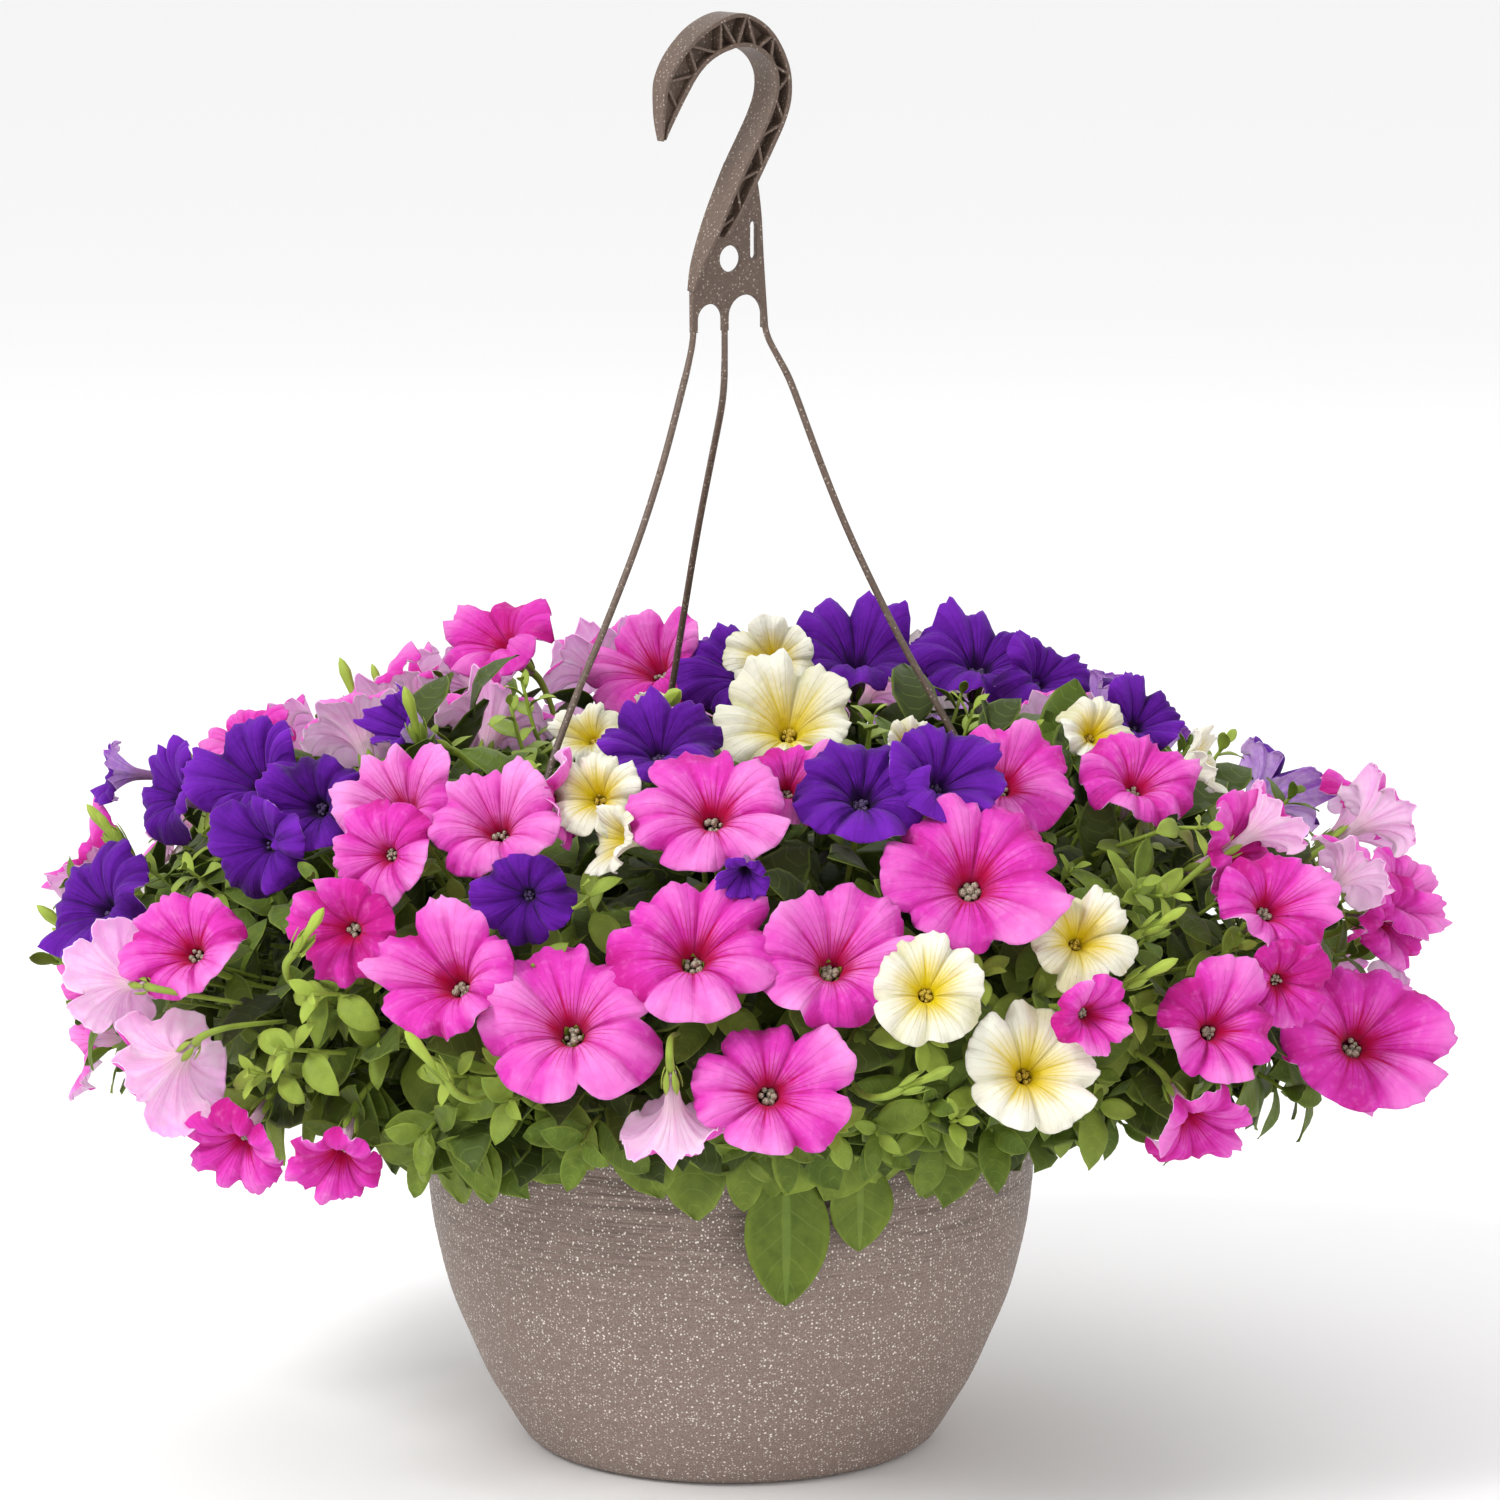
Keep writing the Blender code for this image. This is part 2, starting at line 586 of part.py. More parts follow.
def main():
    clear_scene()
    pivot = add_object("hanger_pivot", None, PIVOT)
    solids = [pot_shell(), potting_mix(), hanger_hook(pivot), yoke_plate(pivot)]
    edge = GAP / 2
    for key, azimuth in STRANDS.items():
        clip = polar(CLIP_RADIUS, azimuth, CLIP_TOP)
        solids += [
            rim_clip(f"rim_clip_{key}", azimuth),
            strand_piece(f"strand_{key}", key, LOWER_ROOT_END + edge, None, clip),
            strand_piece(
                f"lower_root_{key}", key, UPPER_ROOT_END + edge, LOWER_ROOT_END - edge, PIVOT, pivot
            ),
            strand_piece(
                f"upper_root_{key}", key, PRONG_END + edge, UPPER_ROOT_END - edge, PIVOT, pivot
            ),
        ]
    keys = ["front_left", "right", "back_left"]
    for sector, key in enumerate(keys):
        for part in range(PLANTS_PER_SECTOR):
            number = sector * PLANTS_PER_SECTOR + part + 1
            solids.append(plant(number, (key, keys[(sector + 1) % 3]), part))
    solids += [trailing_leaf(*leaf) for leaf in LEAVES]
    add_blooms(solids)


main()
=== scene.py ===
"""Hanging basket of petunias: the visible pieces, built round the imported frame.

Metres, +Z up, origin at the centre of the bowl's underside. The tables are in
millimetres and degrees. Turns are counted from straight ahead (-Y) towards +X.
"""

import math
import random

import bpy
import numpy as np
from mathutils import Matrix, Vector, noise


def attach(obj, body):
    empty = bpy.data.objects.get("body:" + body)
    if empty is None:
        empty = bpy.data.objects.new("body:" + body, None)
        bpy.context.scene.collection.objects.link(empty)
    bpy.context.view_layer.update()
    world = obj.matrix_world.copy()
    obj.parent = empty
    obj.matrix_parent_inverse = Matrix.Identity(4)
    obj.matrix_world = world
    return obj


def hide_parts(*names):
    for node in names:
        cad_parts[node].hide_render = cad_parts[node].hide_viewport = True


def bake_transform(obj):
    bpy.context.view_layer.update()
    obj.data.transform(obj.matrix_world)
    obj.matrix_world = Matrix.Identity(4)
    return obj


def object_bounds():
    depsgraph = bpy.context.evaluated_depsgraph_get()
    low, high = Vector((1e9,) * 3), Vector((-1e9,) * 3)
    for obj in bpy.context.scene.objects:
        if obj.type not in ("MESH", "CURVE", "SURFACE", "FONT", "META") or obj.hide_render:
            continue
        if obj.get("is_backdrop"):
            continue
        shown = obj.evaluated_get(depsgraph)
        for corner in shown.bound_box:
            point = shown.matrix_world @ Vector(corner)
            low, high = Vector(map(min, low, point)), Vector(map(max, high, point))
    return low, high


bl_info = {
    "name": "Petunia Hanging Basket",
    "version": (1, 0, 0),
    "blender": (4, 5, 0),
    "location": "3D View > Sidebar > Basket",
    "description": "Builds a planted resin bowl on its moulded hook hanger",
    "category": "Add Mesh",
}

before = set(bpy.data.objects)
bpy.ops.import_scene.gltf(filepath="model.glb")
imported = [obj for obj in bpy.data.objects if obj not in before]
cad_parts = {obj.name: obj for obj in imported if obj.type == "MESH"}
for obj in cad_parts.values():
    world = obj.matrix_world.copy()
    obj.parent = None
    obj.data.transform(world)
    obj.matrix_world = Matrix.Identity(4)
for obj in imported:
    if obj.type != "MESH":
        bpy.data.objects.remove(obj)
CAD_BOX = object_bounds()

MM = 0.001
BASKET, LOWER, UPPER, HOOK = "basket", "lower_roots", "upper_roots", "hook"
KEYS = ("front_left", "back_left", "right")
KINDS = ("pink", "purple", "cream")
FACE, BACK, GREEN, STAMEN = range(4)  # a bloom's finishes, in the order of its mesh

# --- bowl -----------------------------------------------------------------
BOWL_SEGMENTS = 192
BOWL_OUTER = [  # radius, height up the outside of the wall
    (85, 0), (91, 1.2), (95, 4), (98.5, 9), (105, 20), (112, 32), (120, 50), (128.5, 71), (134, 92),
    (137, 108), (139, 128), (139.8, 150), (139.8, 163), (141.2, 165.5), (141.5, 171), (140.2, 174),
]
LIP_INNER = [(138.6, 174), (137.6, 171), (137.6, 164)]
BOWL_BASE = 2.6
EYE = 0.4  # the sections stop this far from the axis
FOOT_ROWS, WALL_ROWS = 4, 130
DRAIN_RING, DRAIN_RADIUS, DRAIN_COUNT, DRAIN_START = 58, 4.5, 6, 33.5
SLOT_SIZE = (10, 11.6, 5.2)
SLOT_HEIGHT, SLOT_CENTRE = 158.6, 139
MIX_TOP, MIX_SEGMENTS = 158, 96

# --- hanger ---------------------------------------------------------------
HANGER_TURN = 36.0
STRANDS = {"front_left": 229.5, "back_left": 109.5, "right": 349.5}
PRONGS = {"front_left": -20.0, "back_left": -3.0, "right": 19.0}
PRONG_FOOT, PRONG_HALF = 511.0, 1.45
STRAND_SHAPE = {  # share of the way out from the yoke to the lip, height
    "front_left": [
        (0, 540), (0, 512), (0.03, 498), (0.07, 486), (0.18, 455), (0.33, 421), (0.53, 384),
        (0.70, 355), (0.86, 322), (0.95, 285), (0.985, 240), (1, 200),
    ],
    "back_left": [
        (0, 540), (0, 512), (0, 496), (0.02, 479), (0.12, 454), (0.28, 415), (0.44, 370),
        (0.58, 330), (0.75, 292), (0.90, 258), (0.975, 228), (1, 200),
    ],
    "right": [
        (0, 540), (0, 512), (0.05, 498), (0.10, 486), (0.19, 456), (0.29, 425), (0.40, 396),
        (0.52, 367), (0.67, 335), (0.83, 300), (0.94, 262), (0.985, 230), (1, 200),
    ],
}
CLIP_RADIUS, CLIP_TOP = 140.6, 181.0
STRAND_POINTS, STRAND_SMOOTHING = 260, 40
STRAND_TAPER = [(CLIP_TOP, 230, 490, 500), (1.25, 1.0, 1.0, 0.9)]  # heights, shares of the radius
FLEX = (385, 450, 490, 514)  # heights at which the strands are parted into stretches, one joint to a stretch

HOOK_STATIONS = [  # from the tip: outer edge, inner edge, flange width
    ((-38.0, 597.5), (-36.4, 598.2), 5), ((-39.2, 606.0), (-34.2, 603.6), 7),
    ((-39.2, 615.0), (-30.5, 611.0), 9), ((-38.0, 624.0), (-26.5, 618.5), 11),
    ((-33.5, 632.5), (-21.5, 626.5), 13), ((-27.0, 640.0), (-16.0, 632.0), 14.5),
    ((-19.0, 646.5), (-10.0, 635.5), 16), ((-10.0, 651.0), (-5.0, 637.2), 17),
    ((-2.5, 653.0), (-1.5, 638.0), 17), ((4.0, 652.6), (4.5, 638.0), 17),
    ((12.0, 649.0), (9.0, 636.6), 17), ((19.0, 643.0), (13.4, 634.0), 17),
    ((24.8, 634.0), (17.0, 630.0), 17), ((28.0, 624.5), (19.4, 624.0), 17),
    ((28.0, 613.5), (19.0, 616.0), 17), ((24.6, 603.5), (15.4, 607.0), 17),
    ((18.8, 593.0), (9.6, 596.8), 17), ((13.0, 583.2), (3.8, 587.0), 17),
    ((7.6, 573.6), (-1.0, 578.0), 16), ((2.0, 563.5), (-6.2, 567.8), 14),
    ((-5.0, 553.0), (-11.8, 555.8), 11),
]
FIRST_RIB = 2
FLANGE, WEB, RIB = 1.9, 2.4, 1.3
YOKE_THICK, YOKE_EDGE = 3.0, 0.4
YOKE_LEFT = [(3.2, 586.2), (-5.6, 569), (-12.2, 555), (-18.6, 541), (-21.6, 530)]
YOKE_RIGHT = [(18.9, 530), (17.8, 545), (16.7, 562), (14.6, 576.5), (12.4, 582.4)]
YOKE_FLANGE_WIDTHS = [17, 16, 14, 9, 5]
YOKE_HOLE = (-0.5, 543.2, 6.0)
YOKE_SLOT = (10.4, 14.0, 542.5, 559.5)
ARCH_CROWNS = (523.5, 526.5)

# --- plants ---------------------------------------------------------------
MOUND = (318, 275, 150, 72, 215)  # half width, half depth, rise, drop, height of its widest level
MOUND_CURVE = 0.87  # under 1, its sides are fuller than a ball's
BLOOMS = [  # CAD node, throat, diameter, turn, tilt, paleness
    ("pink_bloom_1", (-68, -264, 254), 72, -6, 32, 0.6),
    ("pink_bloom_2", (-15, -254, 284), 70, 0, 36, 0.5),
    ("pink_bloom_3", (46, -252, 279), 66, 8, 32, 0.5),
    ("pink_bloom_4", (18, -274, 226), 66, 4, 24, 0.5),
    ("pink_bloom_5", (104, -220, 308), 76, 4, 34, 0.35),
    ("pink_bloom_6", (-122, -244, 270), 66, -24, 32, 0.4),
    ("pink_bloom_7", (-8, -206, 334), 66, -4, 38, 0.6),
    ("pink_bloom_8", (-102, -190, 326), 55, -14, 38, 0.75),
    ("pink_bloom_9", (-146, -160, 330), 54, -30, 42, 0.7),
    ("pink_bloom_10", (122, -150, 338), 54, 12, 36, 0.5),
    ("pink_bloom_11", (210, -216, 240), 54, 18, 24, 0.4),
    ("pink_bloom_12", (278, -150, 220), 72, 12, 24, 0.4),
    ("pink_bloom_13", (238, -170, 285), 54, 24, 32, 0.4),
    ("pink_bloom_14", (-236, -184, 268), 56, -22, 28, 0.5),
    ("pink_bloom_15", (182, -120, 334), 56, 24, 48, 0.35),
    ("pink_bloom_16", (-214, -196, 176), 46, -26, -30, 0.2),
    ("pink_bloom_17", (202, -220, 190), 46, 26, -30, 0.3),
    ("pink_bloom_18", (310, -30, 262), 52, 64, 32, 0.5),
    ("pink_bloom_19", (300, 64, 280), 54, 100, 32, 0.5),
    ("pink_bloom_20", (250, 170, 240), 62, 140, 30, 0.5),
    ("pink_bloom_21", (140, 238, 264), 64, 155, 36, 0.4),
    ("pink_bloom_22", (10, 268, 250), 68, 180, 30, 0.6),
    ("pink_bloom_23", (-225, 184, 250), 62, 222, 32, 0.5),
    ("pink_bloom_24", (-304, 40, 268), 54, 265, 36, 0.3),
    ("pink_bloom_25", (-60, 204, 334), 62, 190, 48, 0.5),
    ("purple_bloom_1", (-216, -90, 330), 56, -40, 42, 0.5),
    ("purple_bloom_2", (-286, -95, 272), 56, -50, 34, 0.4),
    ("purple_bloom_3", (58, -196, 340), 60, 6, 42, 0.5),
    ("purple_bloom_4", (60, 90, 358), 62, 6, 62, 0.4),
    ("purple_bloom_5", (118, 95, 354), 62, 14, 62, 0.5),
    ("purple_bloom_6", (-32, -130, 350), 52, -10, 52, 0.4),
    ("purple_bloom_7", (-120, 242, 268), 62, 200, 36, 0.5),
    ("cream_bloom_1", (128, -256, 230), 54, 10, 24, 0.6),
    ("cream_bloom_2", (84, -265, 266), 48, 6, 26, 0.5),
    ("cream_bloom_3", (150, -228, 282), 44, 14, 32, 0.3),
    ("cream_bloom_4", (26, -76, 348), 58, 0, 40, 0.5),
]
MORE_BLOOMS = [  # colour, throat, diameter, turn, tilt, paleness, how far it is open
    ("pink", (-151, -186, 308), 46, -25, 15, 0.5, 1),
    ("pink", (-166, -214, 278), 50, -22, 4, 0.0, 1),
    ("pink", (28, -176, 338), 44, 14, 34, 0.5, 1),
    ("pink", (240, -186, 250), 42, 20, 2, 0.1, 1),
    ("pink", (302, 8, 292), 48, 118, 24, 0.7, 1),
    ("pink", (306, -40, 246), 50, 50, 0, 0.3, 1),
    ("pink", (282, -70, 282), 44, 128, 30, 0.8, 1),
    ("pink", (155, -254, 251), 38, 24, 6, 0.3, 0.8),
    ("pink", (-168, -224, 176), 44, -14, -34, 0.2, 0.9),
    ("pink", (-244, -176, 208), 54, -146, -34, 0.8, 1),
    ("pink", (-268, -150, 246), 48, -150, -4, 0.6, 1),
    ("pink", (-106, 40, 334), 56, 165, 42, 0.8, 1),
    ("pink", (-170, -10, 338), 54, -160, 40, 0.8, 1),
    ("pink", (146, 44, 330), 66, 178, 44, 0.8, 1),
    ("pink", (-22, -258, 200), 50, 172, -66, 0.95, 0.9),
    ("pink", (-42, 100, 348), 60, -36, 42, 0.4, 1),
    ("pink", (-112, 66, 366), 58, -50, 44, 0.3, 1),
    ("pink", (-228, 60, 320), 48, -64, 60, 0.3, 1),
    ("pink", (-66, -170, 328), 42, 70, 8, 0.4, 1),
    ("pink", (238, -120, 310), 42, 130, 20, 0.8, 0.8),
    ("pink", (228, -130, 300), 52, 60, 24, 0.2, 1),
    ("purple", (-184, -140, 322), 50, -22, 22, 0.4, 1),
    ("purple", (-206, -150, 304), 46, -26, 8, 0.5, 1),
    ("purple", (-256, -50, 312), 46, -58, 26, 0.4, 1),
    ("purple", (-286, 30, 304), 38, -84, 6, 0.5, 0.7),
    ("purple", (-88, -226, 296), 40, -14, 6, 0.3, 1),
    ("purple", (6, 80, 350), 60, -14, 48, 0.4, 1),
    ("purple", (187, -21, 340), 38, 24, 40, 0.4, 1),
    ("purple", (94, -185, 345), 50, 20, 40, 0.6, 1),
    ("purple", (6, -238, 306), 28, -6, -20, 0.7, 0.6),
    ("purple", (-148, -66, 344), 46, -60, 30, 1.0, 0.45),
    ("purple", (150, 80, 344), 46, 40, 40, 0.6, 1),
    ("cream", (18, 2, 362), 42, -8, 20, 0.5, 1),
    ("cream", (-58, -180, 334), 42, -14, 30, 0.5, 1),
    ("cream", (-52, -196, 316), 34, -60, 10, 0.5, 0.8),
    ("cream", (80, -128, 344), 30, 14, 24, 0.4, 0.8),
    ("cream", (164, -82, 344), 38, 28, 34, 0.5, 1),
    ("cream", (212, -78, 328), 36, 78, 20, 0.6, 0.8),
    ("cream", (-34, -78, 350), 30, -60, 30, 0.0, 0.4),
    ("cream", (-66, -70, 342), 36, -36, 40, 0.4, 1),
]
BUDS = [  # foot, tip
    ((-118, -258, 224), (-135, -264, 247)), ((-184, -215, 270), (-171, -222, 291)),
    ((72, -264, 222), (94, -270, 233)), ((168, -215, 256), (190, -222, 269)),
    ((176, -205, 277), (194, -212, 289)), ((-34, -60, 346), (-22, -92, 362)),
]
YOUNG_SHOOTS = [  # tips of the palest shoots
    (-119, -236, 222), (-177, -214, 252), (-190, -214, 228), (-205, -196, 214), (84, -246, 240),
    (114, -240, 216), (96, -244, 204), (206, -150, 312), (190, -170, 286), (150, -226, 300),
    (176, -190, 240), (-96, -240, 226), (44, -256, 204), (-205, -140, 296),
]
HANGING_LEAVES = [  # number, turn about Z, top, length, width, paleness
    (1, 279.5, 168, 70, 38, 0.12), (2, 292.5, 166, 46, 30, 0.2),
]
UNSEEN_BLOOMS, UNSEEN_TRIES, UNSEEN_BUDS = 44, 4000, 26
INNER_LEAVES, COLLAR_LEAVES, SKIRT_ROUND = 1900, 600, 48
SHOOT_TURN, LEAF_TURN = 137.508, 2.39996  # degrees and radians from one to the next

PETAL_SEGMENTS = 100
COROLLA = [  # radius, depth, share of the way out; the tube's own depths aren't listed
    (0.055, None, 0.0), (0.075, None, 0.08), (0.098, None, 0.15), (0.118, -0.50, 0.2),
    (0.140, -0.40, 0.24), (0.175, -0.345, 0.28), (0.222, -0.295, 0.33), (0.28, -0.25, 0.39),
    (0.35, -0.205, 0.45), (0.425, -0.162, 0.51), (0.50, -0.124, 0.57), (0.575, -0.092, 0.63),
    (0.65, -0.06, 0.69), (0.72, -0.04, 0.75), (0.79, -0.024, 0.81), (0.85, -0.014, 0.87),
    (0.90, -0.010, 0.91), (0.94, -0.012, 0.95), (0.975, -0.018, 0.98), (1.0, -0.026, 1.0),
]
LEAF_OUTLINE = [  # share of the length, share of the width
    (0, 0.08, 0.16, 0.28, 0.42, 0.56, 0.70, 0.84, 0.94, 1),
    (0.09, 0.12, 0.42, 0.80, 0.98, 1.0, 0.88, 0.63, 0.35, 0.04),
]
LEAF_EDGE, LEAF_RIB = 0.00028, 0.0005  # thickness in metres, and how much more at the midrib
SEPAL = (0.012, 0.0034, -0.5, 0.3, 0.0, 5, 4)  # as blade_rings takes them
STALK = [(0.002, 0), (-0.008, 0), (-0.014, 0.012), (-0.012, 0.042)]  # along the bloom, inwards
BUD_OUTLINE = [(0, 0.12, 0.4, 0.75, 0.9, 1), (0.05, 0.08, 0.06, 0.10, 0.07, 0.01)]

# room kept clear of leaves, in metres
AHEAD_OF_PETALS, ROUND_STRANDS = 0.045, 0.007
BOWL_RADIUS, BOWL_RIM = 0.1455, 0.177

# --- stage ----------------------------------------------------------------
FLOOR_REACH, FLOOR_LEVEL = 60000, -0.2
SKY = 0.94
LIGHTS = [  # name, place, side, watts
    ("key", (-1.9, -1.9, 2.6), 0.9, 76), ("fill", (1.2, -3.2, 0.9), 1.6, 14),
    ("back", (0.6, 2.4, 2.4), 1.6, 14),
]
LIT_POINT = (0, 0, 0.25)
CAMERA_PLACE, CAMERA_DIP, LENS, SENSOR = (0.009, -3.0, 0.85), 10.03, 161, 36


def tint(red, green, blue):
    """A screen colour of 0 to 255 as linear light."""
    return tuple(
        c / 12.92 if c <= 0.04045 else ((c + 0.055) / 1.055) ** 2.4
        for c in (red / 255, green / 255, blue / 255)
    )


# --- colours --------------------------------------------------------------
UNDERSIDES = {  # petal, its veins, the outside of the tube
    "pink": (tint(246, 140, 216), tint(196, 84, 150), tint(228, 172, 190)),
    "purple": (tint(122, 52, 176), tint(70, 20, 104), tint(124, 84, 116)),
    "cream": (tint(238, 232, 200), tint(196, 196, 130), tint(214, 214, 160)),
}
STAMENS = {  # anther, pollen
    "pink": (tint(124, 114, 98), tint(202, 200, 176)),
    "purple": (tint(40, 22, 60), tint(110, 92, 130)),
    "cream": (tint(150, 120, 20), tint(222, 200, 90)),
}


# --- settings -------------------------------------------------------------
def colour(name, description, default):
    return bpy.props.FloatVectorProperty(
        name=name, description=description, subtype="COLOR", size=3, min=0, max=1, default=default
    )


class BowlSettings(bpy.types.PropertyGroup):
    """The bowl's wall and finish."""

    wall: bpy.props.FloatProperty(
        name="Wall", description="Thickness of the bowl's wall", default=2.2 * MM, unit="LENGTH"
    )
    resin: colour("Resin", "Ground colour of the bowl", tint(139, 120, 111))
    speck: colour("Speck", "Colour of the pale specks", tint(242, 235, 224))
    groove: bpy.props.FloatProperty(
        name="Turning lines", description="Depth of the turned lines", default=0.28 * MM,
        unit="LENGTH",
    )


class HangerSettings(bpy.types.PropertyGroup):
    """The hanger's thickness and finish."""

    strand: bpy.props.FloatProperty(
        name="Strand", description="Radius of a strand", default=1.6 * MM, unit="LENGTH"
    )
    plastic: colour("Plastic", "Ground colour of the hanger", tint(93, 76, 65))
    speck: colour("Speck", "Colour of the hanger's specks", tint(176, 164, 150))


class PlantSettings(bpy.types.PropertyGroup):
    """The leaves and the potting mix."""

    leaf: colour("Leaf", "Full-grown leaves", tint(76, 96, 12))
    young: colour("Young leaf", "Leaves at the tips", tint(156, 176, 66))
    soil: colour("Potting mix", "Moist peat", tint(58, 42, 32))
    shoots: bpy.props.IntProperty(
        name="Shoots", description="Leafy shoots on the whole mound", default=240, min=20, max=400
    )
    seed: bpy.props.IntProperty(
        name="Seed", description="Another seed grows another plant", default=7
    )


class BloomSettings(bpy.types.PropertyGroup):
    """The petals."""

    pink: colour("Pink", "Petal face of the pink blooms", tint(203, 54, 168))
    purple: colour("Purple", "Petal face of the purple blooms", tint(76, 10, 126))
    cream: colour("Cream", "Petal face of the cream blooms", tint(230, 227, 214))
    thickness: bpy.props.FloatProperty(
        name="Petal", description="Thickness of a petal", default=0.5 * MM, unit="LENGTH"
    )


class StageSettings(bpy.types.PropertyGroup):
    """Floor and light."""

    floor: colour("Floor", "Plain floor", (0.97, 0.97, 0.97))
    light: bpy.props.FloatProperty(
        name="Light", description="Strength of the studio light", default=1.0, min=0
    )


# --- finishes -------------------------------------------------------------
# how light sinks into a petal: a little on its face, more on its underside
THIN = {"Subsurface_Weight": 0.35, "Subsurface_Scale": 0.002, "Subsurface_Radius": (1.0, 0.8, 1.0)}
SHEER = {"Subsurface_Weight": 0.85, "Subsurface_Scale": 0.005, "Subsurface_Radius": (1.0, 0.8, 1.0)}


class Channel:
    """A node's output. Python's operators on it add Math nodes."""

    def __init__(self, finish, socket):
        self.finish = finish
        self.socket = socket

    def __add__(self, other):
        return self.finish.maths("ADD", self, other)

    def __radd__(self, other):
        return self.finish.maths("ADD", other, self)

    def __sub__(self, other):
        return self.finish.maths("SUBTRACT", self, other)

    def __rsub__(self, other):
        return self.finish.maths("SUBTRACT", other, self)

    def __mul__(self, other):
        return self.finish.maths("MULTIPLY", self, other)

    def __rmul__(self, other):
        return self.finish.maths("MULTIPLY", other, self)

    def __abs__(self):
        return self.finish.maths("ABSOLUTE", self)

    def top(self, other):
        return self.finish.maths("MAXIMUM", self, other)

    def fraction(self):
        return self.finish.maths("FRACT", self)

    def between(self, low, high):
        """0 at low and 1 at high, smooth in between; low may be the larger."""
        return self.finish.node(
            "ShaderNodeMapRange",
            {"interpolation_type": "SMOOTHSTEP"},
            {"Value": self, "From Min": low, "From Max": high},
        )

    def lines(self, sharpness):
        """Thin lines wherever the value passes a whole number and a half."""
        return (1 - abs(self.fraction() - 0.5) * 2).between(sharpness, 1.0)


class Finish:
    """One procedural material and its Principled shader."""

    def __init__(self, name, **constants):
        self.material = bpy.data.materials.new(name)
        self.material.use_nodes = True
        self.tree = self.material.node_tree
        self.shader = self.tree.nodes["Principled BSDF"]
        for socket, value in constants.items():
            self.feed(self.shader.inputs[socket.replace("_", " ")], value)

    def feed(self, target, value):
        """Link a channel to a socket, or set the socket's own value."""
        if isinstance(value, Channel):
            self.tree.links.new(value.socket, target)
        elif target.type == "RGBA":
            target.default_value = (*value[:3], 1)
        else:
            target.default_value = value

    def node(self, kind, settings, values, output=0):
        """Add a node: its settings first, then the values or links of its sockets."""
        made = self.tree.nodes.new(kind)
        for setting, value in settings.items():
            setattr(made, setting, value)
        for socket, value in values.items():
            self.feed(made.inputs[socket], value)
        return Channel(self, made.outputs[output])

    def maths(self, operation, *values):
        return self.node("ShaderNodeMath", {"operation": operation}, dict(enumerate(values)))

    def coats(self, ground, *layers):
        """A ground colour under layers, each a share from 0 to 1 and a colour."""
        settings = {"data_type": "RGBA", "blend_type": "MIX", "clamp_factor": True}
        for share, layer in layers:
            ground = self.node("ShaderNodeMix", settings, {0: share, 6: ground, 7: layer}, 2)
        return ground

    def place(self, stretch=(1, 1, 1)):
        """The piece's own coordinates in metres, scaled along each axis."""
        spot = self.node("ShaderNodeTexCoord", {}, {}, "Object")
        return self.node("ShaderNodeVectorMath", {"operation": "MULTIPLY"}, {0: spot, 1: stretch})

    def parts(self, vector):
        return [self.node("ShaderNodeSeparateXYZ", {}, {"Vector": vector}, axis) for axis in "XYZ"]

    def look(self):
        """What the mesh says of itself: off the midrib, out from the base, paleness with painted
        light and shade.
        """
        said = self.node("ShaderNodeAttribute", {"attribute_name": "look"}, {}, "Vector")
        return self.parts(said)

    def noise(self, scale, detail=3, stretch=(1, 1, 1), roughness=0.55):
        values = {"Vector": self.place(stretch), "Scale": scale, "Detail": detail}
        return self.node("ShaderNodeTexNoise", {}, {**values, "Roughness": roughness})

    def specks(self, size, share, radius):
        """Round specks in some of the cells of a pattern, with soft edges."""
        settings = {"feature": "F1"}
        values = {"Vector": self.place(), "Scale": 1 / size}
        gap = self.node("ShaderNodeTexVoronoi", settings, values, "Distance")
        cell = self.node("ShaderNodeTexVoronoi", settings, values, "Color")
        draw = self.parts(cell)[0]
        return gap.between(radius, radius * 0.72) * draw.between(1 - share, 1.02 - share)

    def relief(self, height, strength, depth):
        """Bump the surface by a height."""
        values = {"Height": height, "Strength": strength, "Distance": depth}
        self.feed(self.shader.inputs["Normal"], self.node("ShaderNodeBump", {}, values))

    def paint(self, **channels):
        """Feed the shader's varying sockets; the finished material."""
        for socket, value in channels.items():
            self.feed(self.shader.inputs[socket.replace("_", " ")], value)
        return self.material


def resin_finish(settings):
    """Satin resin with pale specks and turned lines, closest together near the lip."""
    fin = Finish("bowl_resin_finish", Specular_IOR_Level=0.42)
    height = fin.parts(fin.place())[2]
    near_lip = height.between(0.075, 0.15)
    turned = fin.noise(1, 4, (26, 26, 900), 0.7)
    broad = fin.noise(1, 2, (9, 9, 230))
    grain = fin.noise(1500, 2)
    cloud = fin.noise(22, 3)
    small = fin.specks(0.0013, 0.5, 0.33)
    large = fin.specks(0.0023, 0.42, 0.25)
    ground = fin.coats(
        settings.resin,
        (cloud * 0.35, tint(118, 101, 92)),
        (grain.between(0.42, 0.75) * 0.55, tint(172, 157, 146)),
        (grain.between(0.55, 0.3) * 0.5, tint(96, 80, 72)),
        (turned.between(0.56, 0.36) * (near_lip * 0.75 + 0.15), tint(92, 77, 69)),
        (turned.between(0.56, 0.72) * (near_lip * 0.35 + 0.05), tint(186, 172, 160)),
        (small * 0.72, settings.speck),
        (large * 0.95, settings.speck),
    )
    fin.relief(turned * (near_lip * 0.8 + 0.2) + broad * 0.4 + grain * 0.12, 0.75, 0.0006)
    return fin.paint(Base_Color=ground, Roughness=0.5 + turned * 0.16 - large * 0.1)


